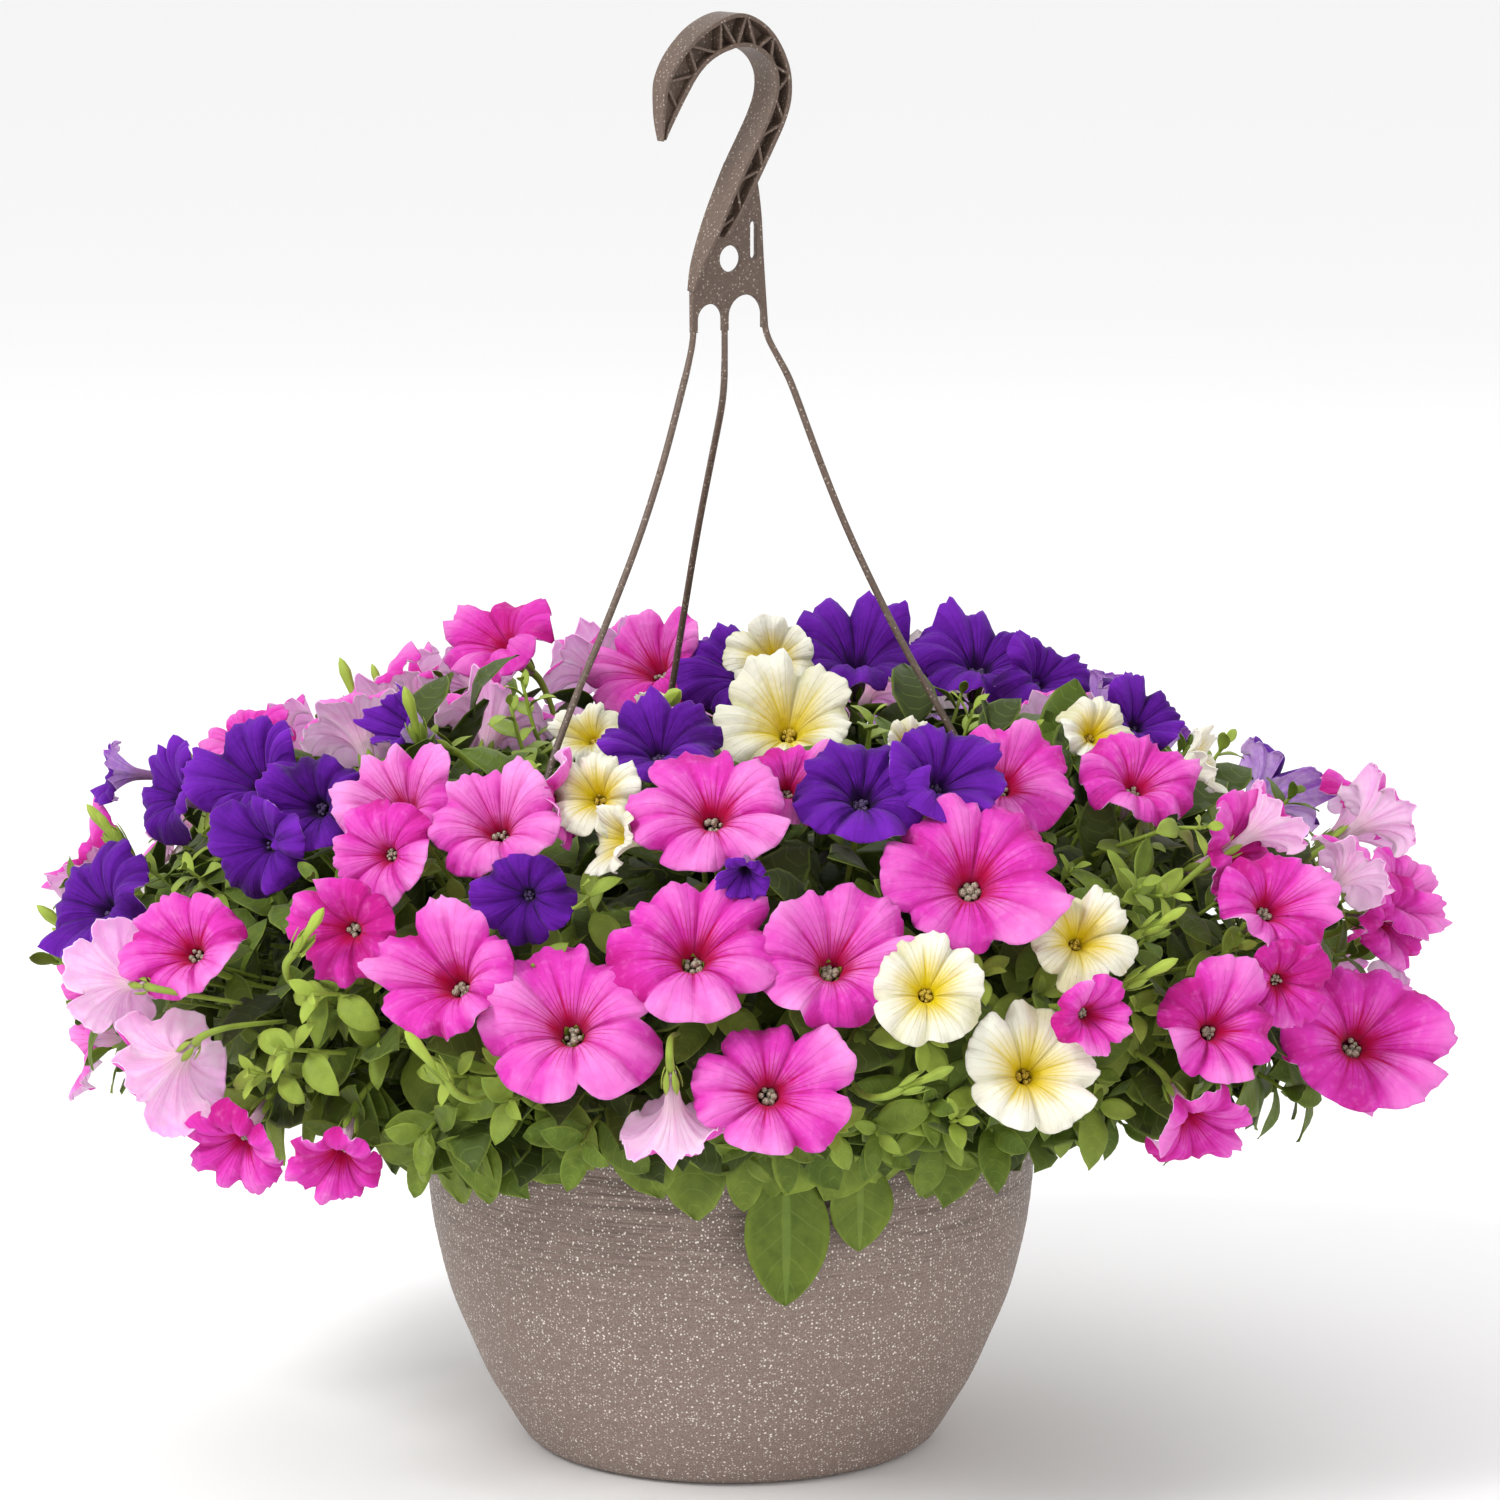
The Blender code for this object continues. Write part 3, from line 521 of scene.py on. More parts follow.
def hanger_finish(settings):
    """The hanger's plastic, with finer and fewer specks and a grain along the moulding."""
    fin = Finish("hanger_plastic_finish", Specular_IOR_Level=0.42)
    grain = fin.noise(900, 3)
    cloud = fin.noise(60, 3)
    ground = fin.coats(
        settings.plastic,
        (cloud.between(0.35, 0.7) * 0.6, tint(88, 73, 64)),
        (grain.between(0.5, 0.72) * 0.45, tint(138, 121, 108)),
        (fin.specks(0.0016, 0.5, 0.3) * 0.7, settings.speck),
        (fin.specks(0.0034, 0.25, 0.2) * 0.5, tint(70, 58, 50)),
    )
    fin.relief(grain + cloud * 0.6, 0.3, 0.0003)
    return fin.paint(Base_Color=ground, Roughness=0.42 + grain * 0.16)


def soil_finish(settings):
    """Moist peat with fibres, bark and white perlite."""
    fin = Finish("potting_mix_finish", Specular_IOR_Level=0.3)
    crumbs = fin.noise(420, 5, roughness=0.75)
    fibres = fin.noise(1, 3, (90, 700, 300))
    perlite = fin.specks(0.007, 0.22, 0.24)
    ground = fin.coats(
        tint(30, 21, 16),
        (crumbs.between(0.3, 0.7), settings.soil),
        (fibres.between(0.6, 0.8) * 0.6, tint(104, 80, 58)),
        (perlite, tint(214, 208, 196)),
    )
    fin.relief(crumbs + perlite * 0.5, 0.9, 0.003)
    return fin.paint(Base_Color=ground, Roughness=0.98 - perlite * 0.2)


def leaf_finish(settings):
    """Soft hairy blade with a pale midrib, side veins, mottling and painted shade on the inner
    leaves.
    """
    fin = Finish("leaf_finish", Specular_IOR_Level=0.3, Sheen_Weight=0.04)
    side, reach, pale = fin.look()
    wobble = fin.noise(70, 2)
    mottle = fin.noise(160, 4)
    patch = fin.noise(38, 2)
    side_veins = (reach * 6.5 - side * 1.4 + wobble * 0.35).lines(0.82) * (1 - side * 0.6)
    veins = side.between(0.14, 0.02).top(side_veins * 0.3)
    pulp = fin.coats(
        settings.leaf,
        (pale + (mottle - 0.5) * 0.55, settings.young),
        (patch.between(0.5, 0.75) * 0.4, tint(56, 76, 8)),
        # painted shade: leaves with a paleness under 0, those inside the mound, are painted dark as
        # if in shadow
        (pale.between(0.0, -0.6) * 0.8, tint(34, 44, 6)),
        (side.between(0.8, 1.0) * 0.25, settings.young),
        (veins * 0.42, tint(168, 196, 98)),
    )
    fin.relief(mottle * 0.5 - veins * 0.8 + fin.noise(1400, 2) * 0.3, 0.55, 0.0006)
    return fin.paint(Base_Color=pulp, Roughness=0.52 + mottle * 0.18 - pale * 0.06)


def petal_finish(kind, face, deep, light, vein, throat, halo):
    """Petal face: rays from the throat, a dark ring round it, paler rims, painted light on ridges
    and painted shade in folds.
    """
    fin = Finish(f"{kind}_petal_finish", Specular_IOR_Level=0.12, Sheen_Weight=0.04, **THIN)
    side, reach, pale = fin.look()
    wobble = fin.noise(45, 2)
    mottle = fin.noise(240, 4)
    patch = fin.noise(60, 3)
    rays = (side * 4.5 + wobble * 0.7).lines(0.68)
    # painted shade in the valleys where the lobes join
    shaded_seam = side.between(0.9, 1.0) * 0.5
    # painted shade along the sunk midrib, with a little of the veins
    crease_shade_and_veins = side.between(0.14, 0.0) * 0.5 + rays * 0.16
    ring = reach + side * 0.07 + (wobble - 0.5) * 0.24 - rays * 0.09
    body = fin.coats(
        face,
        # painted light on ridges and painted shade in valleys, from the fold height in the
        # paleness, with each bloom's own paleness
        ((pale - 0.3) * 0.9 + (patch - 0.5) * 0.9, light),
        ((pale + (patch - 0.5) * 0.8).between(0.42, -0.25) * 0.85, deep),
        (mottle.between(0.5, 0.8) * 0.22, light),
        # painted shade at the seams and along the midrib
        (shaded_seam * reach.between(1.0, 0.6), deep),
        (crease_shade_and_veins * reach.between(1.05, 0.4), deep),
        (rays * reach.between(0.72, 0.34) * 0.8, vein),
        (ring.between(halo, 0.27), vein),
        (reach.between(0.22, 0.17), throat),
    )
    fin.relief(mottle * 0.25 + patch * 1.6 - rays * 0.12 - shaded_seam, 0.7, 0.0022)
    return fin.paint(Base_Color=body, Roughness=0.68 + mottle * 0.2)


def petal_back_finish(kind, face, vein, tube):
    """Underside of the petals and the outside of the tube, paler, with coarse veins and painted
    light and shade on its folds.
    """
    fin = Finish(f"{kind}_underside_finish", Specular_IOR_Level=0.12, Sheen_Weight=0.04, **SHEER)
    side, reach, pale = fin.look()
    wobble = fin.noise(50, 2)
    mottle = fin.noise(240, 4)
    rays = (side * 3.0 + wobble * 0.6).lines(0.8) * reach.between(1.0, 0.3)
    ribs = rays.top(side.between(0.12, 0.0) * reach.between(1.1, 0.4))
    body = fin.coats(
        face,
        # paler with the paleness: painted light on the underside's ridges, painted shade in its
        # folds, and each bloom's own paleness
        (pale * 0.3 + (mottle - 0.5) * 0.4, (0.9, 0.8, 0.86)),
        (reach.between(0.42, 0.2) * 0.8, tube),
        (ribs * 0.45, vein),
    )
    fin.relief(mottle * 0.4 + ribs * 0.6, 0.5, 0.0008)
    return fin.paint(Base_Color=body, Roughness=0.66 + mottle * 0.2)


def stamen_finish(kind, shade, pollen):
    """Dusty anthers."""
    fin = Finish(f"{kind}_stamen_finish", Specular_IOR_Level=0.3)
    dust = fin.noise(1800, 3)
    ground = fin.coats(shade, (dust.between(0.4, 0.62), pollen))
    fin.relief(dust, 0.8, 0.0004)
    return fin.paint(Base_Color=ground, Roughness=0.8 - dust * 0.2)


def floor_finish(settings):
    """Plain matt floor."""
    fin = Finish("floor_finish", Specular_IOR_Level=0.2)
    grain = fin.noise(120, 3)
    shade = tuple(c * 0.985 for c in settings.floor)
    fin.relief(grain, 0.05, 0.0005)
    return fin.paint(Base_Color=fin.coats(settings.floor, (grain * 0.3, shade)), Roughness=0.85)


# --- geometry -------------------------------------------------------------
def polar(radius, degrees, z=0.0):
    """A point from its radius, its turn about Z from +X, and its height."""
    angle = math.radians(degrees)
    return np.array((radius * math.cos(angle), radius * math.sin(angle), z))


def unit(v):
    return v / max(1e-9, float(np.linalg.norm(v)))


def facing(turn, tilt):
    """The direction that a turn and an upward tilt point in."""
    lift = math.radians(tilt)
    return polar(math.cos(lift), turn - 90, math.sin(lift))


def axes(ahead, up):
    """Columns: ahead, its left, and up made square to it."""
    ahead = unit(np.array(ahead, float))
    left = np.cross(up, ahead)
    if np.linalg.norm(left) < 1e-3:
        left = np.cross((0.3, 1.0, 0.2), ahead)
    left = unit(left)
    return np.stack([ahead, left, np.cross(ahead, left)], axis=1)


def curve(points, count):
    """Points spaced evenly by parameter on a Catmull-Rom curve."""
    p = np.array(points, float)
    p = np.vstack([2 * p[0] - p[1], p, 2 * p[-1] - p[-2]])
    where = np.linspace(0, len(p) - 3, count)
    i = np.minimum(where.astype(int), len(p) - 4)
    t = (where - i)[:, None]
    p0, p1, p2, p3 = p[i], p[i + 1], p[i + 2], p[i + 3]
    bend = (2 * p0 - 5 * p1 + 4 * p2 - p3) * t**2 + (3 * p1 - p0 - 3 * p2 + p3) * t**3
    return (2 * p1 + (p2 - p0) * t + bend) / 2


def tube_rings(path, radii, around):
    """Rings round a path, without twist."""
    path = np.array(path, float)
    ahead = np.gradient(path, axis=0)
    ahead /= np.linalg.norm(ahead, axis=1)[:, None] + 1e-12
    side = axes(ahead[0], (0.1, 0.2, 1.0))[:, 1]
    angles = np.arange(around) * 2 * math.pi / around
    rings = []
    for point, way, radius in zip(path, ahead, np.broadcast_to(radii, len(path))):
        side = unit(side - way * side.dot(way))
        spokes = np.outer(np.cos(angles), side) + np.outer(np.sin(angles), np.cross(way, side))
        rings.append(point + radius * spokes)
    return np.array(rings)


class Skins:
    """Closed skins of rings gathered into one mesh, each with its own place on the bake map."""

    SMALL_BAND = 0.16  # share of the map for the small skins
    GUTTER, INNER = 0.03, 0.94  # the edge of each place, and what is left for its skin
    CAPS = (0.015, 0.985)  # where the end caps lie in it

    def __init__(self):
        self.skins = []

    def add(self, rings, look, slot=0, small=False):
        """Rings are (rows, around, 3) in metres. Slot is one number, or one for each band."""
        rings = np.asarray(rings, float)
        rows, around = rings.shape[:2]
        look = np.broadcast_to(np.asarray(look, float), (rows, around, 3))
        slots = np.broadcast_to(slot, rows - 1)
        self.skins.append((rings, look, slots, small))

    def cells(self, small, low, high):
        """Places on the bake map for the large or the small skins, between two heights."""
        count = sum(1 for skin in self.skins if skin[3] == small)
        columns = max(1, math.ceil(math.sqrt(count / (high - low))))
        lines = max(1, math.ceil(count / columns))
        for k in range(count):
            corner = ((k % columns) / columns, low + (k // columns) * (high - low) / lines)
            yield np.array(corner), np.array((1 / columns, (high - low) / lines))

    @staticmethod
    def faces(rings):
        """A skin's quads, their spots from 0 to 1, and its end caps, all turned outwards."""
        rows, around = rings.shape[:2]
        i, j = np.meshgrid(np.arange(rows - 1), np.arange(around), indexing="ij")
        near, far, after = i * around, (i + 1) * around, (j + 1) % around
        quads = np.stack([near + j, near + after, far + after, far + j], -1).reshape(-1, 4)
        u = np.stack([j, j + 1, j + 1, j], -1) / around
        v = np.stack([i, i, i + 1, i + 1], -1) / (rows - 1)
        spots = np.stack([u, v], -1).reshape(-1, 4, 2)
        caps = [np.arange(around)[::-1], (rows - 1) * around + np.arange(around)]
        flat = rings.reshape(-1, 3)
        a, b, c, d = np.moveaxis((flat - flat.mean(0))[quads], 1, 0)
        if np.einsum("ij,ij->", a, np.cross(b, c) + np.cross(c, d)) < 0:
            quads, spots, caps = quads[:, ::-1], spots[:, ::-1], [cap[::-1] for cap in caps]
        return quads, spots, caps

    def build(self, name, materials):
        """One object from all the skins."""
        small_ones = [skin[3] for skin in self.skins]
        band = 1.0 if all(small_ones) else self.SMALL_BAND if any(small_ones) else 0.0
        places = {True: self.cells(True, 0, band or 1), False: self.cells(False, band, 1)}
        points, looks, faces, uvs, slots = [], [], [], [], []
        start = 0
        for rings, look, band_slots, small in self.skins:
            around = rings.shape[1]
            quads, spots, caps = self.faces(rings)
            faces += (quads + start).tolist() + [(cap + start).tolist() for cap in caps]
            corner, size = next(places[small])
            ends = [np.full((around, 2), corner + size * (0.5, end)) for end in self.CAPS]
            uvs += [(corner + size * (self.GUTTER + self.INNER * spots)).reshape(-1, 2)] + ends
            slots += [np.repeat(band_slots, around), [band_slots[0], band_slots[-1]]]
            points.append(rings.reshape(-1, 3))
            looks.append(look.reshape(-1, 3))
            start += len(points[-1])
        mesh = bpy.data.meshes.new(name)
        mesh.from_pydata(np.concatenate(points).tolist(), [], faces)
        mesh.uv_layers.new(name="OFBake").data.foreach_set("uv", np.concatenate(uvs).ravel())
        mesh.attributes.new("look", "FLOAT_VECTOR", "POINT").data.foreach_set(
            "vector", np.concatenate(looks).ravel()
        )
        for finish in materials:
            mesh.materials.append(finish)
        mesh.polygons.foreach_set("material_index", np.concatenate(slots).astype(np.int32))
        mesh.shade_smooth()
        return add_object(name, mesh)


def add_object(name, data):
    obj = bpy.data.objects.new(name, data)
    bpy.context.scene.collection.objects.link(obj)
    return obj


def plain_mesh(name, verts, faces, finish):
    """An object from millimetres, with crisp edges where faces turn sharply."""
    mesh = bpy.data.meshes.new(name)
    mesh.from_pydata([tuple(c * MM for c in v) for v in verts], [], faces)
    mesh.materials.append(finish)
    mesh.shade_smooth()
    mesh.set_sharp_from_angle(angle=math.radians(40))
    return add_object(name, mesh)


def freeze(obj):
    """Apply the modifiers, or turn a curve into a mesh."""
    graph = bpy.context.evaluated_depsgraph_get()
    mesh = bpy.data.meshes.new_from_object(obj.evaluated_get(graph))
    name = obj.name
    bpy.data.objects.remove(obj)
    return add_object(name, mesh)


def cut(target, tools):
    """Take the tools away from the target and drop them."""
    for tool in tools:
        mod = target.modifiers.new("cut", "BOOLEAN")
        mod.operation = "DIFFERENCE"
        mod.solver = "EXACT"
        mod.object = tool
    made = freeze(target)
    for tool in tools:
        bpy.data.objects.remove(tool)
    return made


def join(name, objects):
    """One object from several, in the first one's materials."""
    with bpy.context.temp_override(active_object=objects[0], selected_editable_objects=objects):
        bpy.ops.object.join()
    objects[0].name = name
    return objects[0]


def loft(name, rings, finish):
    """Skin a list of equal rings and close both ends."""
    count = len(rings[0])
    end = (len(rings) - 1) * count
    verts = [v for ring in rings for v in ring]
    faces = [tuple(range(count))[::-1], tuple(range(end, end + count))]
    for a in range(0, end, count):
        for k in range(count):
            n = (k + 1) % count
            faces.append((a + k, a + n, a + count + n, a + count + k))
    return plain_mesh(name, verts, faces, finish)


def hanger_point(along, across, z):
    """A point in the hanger's own plane: along the yoke, out of its face, height."""
    turn = math.radians(HANGER_TURN)
    x = along * math.cos(turn) - across * math.sin(turn)
    return np.array((x, along * math.sin(turn) + across * math.cos(turn), z))


# --- bowl and mix ---------------------------------------------------------
def bowl_profile(settings):
    """The wall's section as one closed loop, fine enough for the turned lines."""
    outside = curve(BOWL_OUTER[FOOT_ROWS:13], WALL_ROWS)
    foot = np.array(BOWL_OUTER[:FOOT_ROWS])
    lip = curve(BOWL_OUTER[12:], 10)[1:]
    wall = settings.wall / MM
    inner = curve(BOWL_OUTER[3:12], 24)[::-1]
    inside = [(r - wall, z) for r, z in inner if BOWL_BASE < z < 160]
    loop = [*foot, *outside, *lip, *LIP_INNER, *inside, (90, BOWL_BASE)]
    return np.array([(EYE, 0)] + [tuple(p) for p in loop] + [(EYE, BOWL_BASE)])


def wander(degrees, z):
    """How far the wall strays from its section: long waves round it, short ones up it."""
    x, y, _ = polar(1.2, degrees)
    return noise.noise((x, y, z * 0.42)) + 0.6 * noise.noise((x, y, z * 1.1))


def turned_bowl(settings, finish):
    """The bowl on its wheel: rings that wander a little, most of all near the lip."""
    profile = bowl_profile(settings)
    rings = []
    for row, (radius, z) in enumerate(profile):
        outer = FOOT_ROWS <= row < FOOT_ROWS + WALL_ROWS
        near_lip = min(1, max(0, (z - 78) / 60))
        depth = settings.groove / MM * (0.25 + 0.75 * near_lip) if outer else 0
        turns = [360 * k / BOWL_SEGMENTS for k in range(BOWL_SEGMENTS)]
        rings.append([polar(radius + depth * wander(turn, z), turn, z) for turn in turns])
    return loft("bowl", rings, finish)


def bowl_cutters(finish):
    """Six drains in the base and three slots under the lip."""
    tools = []
    for k in range(DRAIN_COUNT):
        centre = polar(DRAIN_RING, DRAIN_START + 360 * k / DRAIN_COUNT)
        rings = [[centre + polar(DRAIN_RADIUS, 15 * j + 4, z) for j in range(24)] for z in (-3, 6)]
        tools.append(loft("drain", rings, finish))
    deep, wide, tall = (size / 2 for size in SLOT_SIZE)
    corners = [(-deep, -wide), (deep, -wide), (deep, wide), (-deep, wide)]
    for azimuth in STRANDS.values():
        out, along = polar(1, azimuth), polar(1, azimuth + 90)
        rings = []
        for z in (SLOT_HEIGHT - tall, SLOT_HEIGHT + tall):
            rings.append([out * (SLOT_CENTRE + x) + along * y + (0, 0, z) for x, y in corners])
        tools.append(loft("slot", rings, finish))
    return tools


def mix_bed(finish):
    """The potting mix, with a crumbly crown."""
    wall = [(r - 2.7, z) for r, z in BOWL_OUTER[3:12] if z < MIX_TOP - 3]
    crown = [
        (137.0 * (1 - t) ** 0.9 + 0.5, MIX_TOP - 6 + 12 * math.sin(min(1, t * 1.6) * math.pi / 2))
        for t in np.linspace(0, 1, 40)
    ]
    rings = []
    for radius, z in [(0.5, BOWL_BASE + 0.4), (88, BOWL_BASE + 0.4)] + wall + crown:
        ring = []
        for k in range(MIX_SEGMENTS):
            spot = polar(radius, 360 * k / MIX_SEGMENTS, z)
            lift = 2.2 * noise.fractal(spot * 0.09, 1.0, 2.0, 4) if z > MIX_TOP - 5 else 0
            ring.append(spot + (0, 0, lift))
        rings.append(ring)
    return loft("potting_bed", rings, finish)


# --- hanger ---------------------------------------------------------------
def beam_section(outer, inner, width):
    """Twelve corners of an I-beam between two edge points in the hanger's plane."""
    start, run = np.array(inner), np.array(outer) - np.array(inner)
    depth = float(np.linalg.norm(run))
    flange = min(FLANGE, 0.3 * depth)
    levels = [(0, width), (flange, width), (flange, min(WEB, 0.5 * width))]
    levels += [(depth - d, w) for d, w in reversed(levels)]
    half = [(start + run * (d / depth), w / 2) for d, w in levels]
    return [hanger_point(p[0], w, p[1]) for p, w in half + [(p, -w) for p, w in reversed(half)]]


def hook_beam(finish):
    """The hook's beam on smoothed stations, with its zigzag of ribs."""
    flat = [(*outer, *inner, width) for outer, inner, width in HOOK_STATIONS]
    smooth = curve(flat, 4 * (len(flat) - 1) + 1)
    rings = [beam_section(row[:2], row[2:4], row[4]) for row in smooth]
    pieces = [loft("hook_beam", rings, finish)]
    for k in range(FIRST_RIB, len(HOOK_STATIONS) - 1):
        here, there = HOOK_STATIONS[k], HOOK_STATIONS[k + 1]
        side = k % 2
        start, end = np.array(here[1 - side]), np.array(there[side])
        run = unit(end - start)
        edge = np.array((-run[1], run[0])) * RIB / 2
        corners = [start + run + edge, end - run + edge, end - run - edge, start + run - edge]
        half = min(here[2], there[2]) / 2 - 0.6
        rings = [[hanger_point(p[0], s * half, p[1]) for p in corners] for s in (-1, 1)]
        pieces.append(loft("rib", rings, finish))
    return join("hook", pieces)


def soften(obj, width):
    """Round the moulding's edges a little."""
    mod = obj.modifiers.new("soften", "BEVEL")
    mod.width = width * MM
    mod.segments = 2
    mod.limit_method = "ANGLE"
    mod.angle_limit = math.radians(35)
    return obj


def arch(left, right, crown):
    """A half circle between two prongs, from left to right."""
    middle, half = (left + right) / 2, (right - left) / 2
    turns = np.linspace(0, math.pi, 17)
    return [(middle - half * math.cos(a), crown - half + half * math.sin(a)) for a in turns]


def prong(key):
    """The lower end of one prong, where its strand goes in."""
    return [(PRONGS[key] + side, PRONG_FOOT) for side in (-PRONG_HALF, PRONG_HALF)]


def yoke_outlines():
    """The plate's edge, its round hole and its slot with round ends."""
    left, middle, right = (prong(key) for key in ("front_left", "back_left", "right"))
    edge = [tuple(p) for p in curve(YOKE_LEFT, 17)] + left
    edge += arch(left[1][0], middle[0][0], ARCH_CROWNS[0]) + middle
    edge += arch(middle[1][0], right[0][0], ARCH_CROWNS[1]) + right
    edge += [tuple(p) for p in curve(YOKE_RIGHT, 17)]
    x, z, radius = YOKE_HOLE
    turns = [math.radians(9 * k) for k in range(40)]
    hole = [(x + radius * math.cos(a), z + radius * math.sin(a)) for a in turns]
    x0, x1, z0, z1 = YOKE_SLOT
    middle, half = (x0 + x1) / 2, (x1 - x0) / 2
    ends = [math.radians(18 * k) for k in range(11)]
    slot = [(middle + half * math.cos(a), z1 - half + half * math.sin(a)) for a in ends]
    slot += [(middle - half * math.cos(a), z0 + half - half * math.sin(a)) for a in ends]
    return [edge, hole, slot]


def yoke(finish):
    """The flat plate, with rounded edges, and the flange along its left edge."""
    data = bpy.data.curves.new("yoke", "CURVE")
    data.dimensions = "2D"
    data.fill_mode = "BOTH"
    data.extrude = (YOKE_THICK / 2 - YOKE_EDGE) * MM
    data.bevel_depth = YOKE_EDGE * MM
    data.bevel_resolution = 2
    data.offset = -YOKE_EDGE * MM
    for outline in yoke_outlines():
        spline = data.splines.new("POLY")
        spline.points.add(len(outline) - 1)
        for point, (x, z) in zip(spline.points, outline):
            point.co = (x * MM, z * MM, 0, 1)
        spline.use_cyclic_u = True
    data.materials.append(finish)
    plate = freeze(add_object("yoke", data))
    turned = Matrix.Rotation(math.radians(HANGER_TURN), 4, "Z")
    plate.data.transform(turned @ Matrix.Rotation(math.pi / 2, 4, "X"))
    plate.data.shade_smooth()
    plate.data.set_sharp_from_angle(angle=math.radians(40))
    rings = []
    rows = [(x, z, w) for (x, z), w in zip(YOKE_LEFT, YOKE_FLANGE_WIDTHS)]
    for x, z, width in curve(rows, 17):
        half = width / 2
        corners = [(-0.4, -half), (1.6, -half), (1.6, half), (-0.4, half)]
        rings.append([hanger_point(x + dx, y, z - 0.3) for dx, y in corners])
    flange = freeze(soften(loft("yoke_flange", rings, finish), 0.4))
    return join("yoke", [plate, flange])


def strand_line(key):
    """The strand's centre line in millimetres, close points from the yoke to the clip."""
    start = hanger_point(PRONGS[key], 0, 0)
    end = polar(CLIP_RADIUS, STRANDS[key])
    shape = STRAND_SHAPE[key] + [(1, CLIP_TOP + 0.4)]
    points = [(*(start + (end - start) * share)[:2], z) for share, z in shape]
    line = curve(points, STRAND_POINTS)
    for _ in range(STRAND_SMOOTHING):
        line[1:-1] = (line[:-2] + 2 * line[1:-1] + line[2:]) / 4
    return line


def strand_stretch(name, key, top, foot, radius, finish):
    """A moulded strand between two heights."""
    line = strand_line(key)
    heights, rising = line[:, 2], line[::-1].T
    first, last = ([np.interp(z, rising[2], along) for along in rising] for z in (top, foot))
    path = np.vstack([first, line[(heights < top - 0.4) & (heights > foot + 0.4)], last])
    taper = np.interp(path[:, 2], *STRAND_TAPER)
    skins = Skins()
    skins.add(tube_rings(path * MM, radius * taper, 14), (0.5, 0.5, 0.5))
    return skins.build(name, [finish])


# --- petunias -------------------------------------------------------------
def with_underside(face, thickness):
    """A face of rings and, back from its rim, its underside."""
    across = np.roll(face, -1, axis=1) - np.roll(face, 1, axis=1)
    normal = np.cross(np.gradient(face, axis=0), across)
    normal /= np.linalg.norm(normal, axis=2)[..., None] + 1e-12
    return np.concatenate([face, (face - normal * thickness)[::-1]])


def bloom_rings(rng, radius, tube, openness, thickness):
    """One corolla facing +Z about its throat: face from tube to rim, then the underside back."""
    angle = np.arange(PETAL_SEGMENTS) * 2 * math.pi / PETAL_SEGMENTS
    uneven = (angle + 0.14 * np.sin(angle + rng.uniform(0, 6.3))) * 5 / (2 * math.pi)
    petal = np.floor(uneven).astype(int) % 5
    local = uneven - np.floor(uneven) - 0.5
    side = np.abs(local) * 2
    fan = 1 - side**4

    def each(low, high):
        """A number for each petal, as a row round the rim."""
        return np.array([rng.uniform(low, high) for _ in range(5)])[petal]

    def waves(*counts):
        """Waves round the rim, some of each count, added up."""
        parts = [rng.uniform(0.6, 1) * np.sin(f * angle + rng.uniform(0, 6.3)) for f in counts]
        return sum(parts) / len(counts)

    length, lift, bulge = each(-0.13, 0.10), each(-0.40, 0.20), each(0.03, 0.16)
    overlap = rng.choice((-1, 1)) * each(0.04, 0.20) + rng.uniform(-0.05, 0.05)
    frill, ripple, sway = waves(8, 11, 14), waves(25, 31, 38), waves(2, 3)
    notch = rng.uniform(0.14, 0.32)
    dent = 0.02 * np.exp(-((local / 0.08) ** 2))
    rim = 1.06 + length * fan - notch * side**6 + 0.035 * frill + 0.022 * ripple - dent
    deep = rng.uniform(1.15, 1.7)
    tube_depths = iter((-tube / radius, -0.72 * tube / radius - 0.15, -0.62 * deep))
    share, depth, out = (np.array(column) for column in zip(*COROLLA))
    depth = np.array([next(tube_depths) if d is None else d * deep for d in depth])
    grown = np.clip((out - 0.24) / 0.76, 0, 1)
    share = share * (1 - (1 - openness) * 0.62 * grown)
    depth = depth + (1 - openness) * 0.85 * grown**1.2
    g = grown[:, None]  # 0 in the tube, 1 at the rim
    middle = np.sin(math.pi * g)
    r = share[:, None] * (1 + (rim - 1) * g**2)
    # each lobe lifts or hangs, lies over the next, and sways with the whole rim
    fold = lift * fan * g**2 + overlap * local * 2 * (1 - side**14) * g**2 + 0.20 * sway * g**2
    # it bulges on both sides of its midrib
    fold = fold + bulge * (0.45 * np.sin(math.pi * side) ** 2 + fan) * np.sin(math.pi * g * 0.85)
    # the rim is frilled and rippled, and drawn back where lobes join
    fold = fold + 0.17 * frill * g**4 + 0.07 * ripple * g**8 - 0.16 * side**3 * g**3
    # a sunk midrib and fine pleats
    fold = fold - 0.04 * np.exp(-((local / 0.05) ** 2)) * middle
    fold = fold + 0.014 * np.sin(25 * angle + 1) * middle * (0.4 + side)
    z = depth[:, None] + fold
    face = np.stack([r * np.cos(angle), r * np.sin(angle) * rng.uniform(0.88, 1.0), z], -1) * radius
    rings = with_underside(face, thickness)
    # painted light and shade: fold height in the paleness paints ridges paler, valleys deeper
    fold_light_and_shade = np.clip((fold - fold.mean(axis=1, keepdims=True)) * 2.6, -0.7, 0.6)
    look = np.zeros(rings.shape)
    look[..., 0] = side
    look[..., 1] = np.concatenate([out, out[::-1]])[:, None]
    look[..., 2] = np.concatenate([fold_light_and_shade, -fold_light_and_shade[::-1]])
    return rings, look, deep


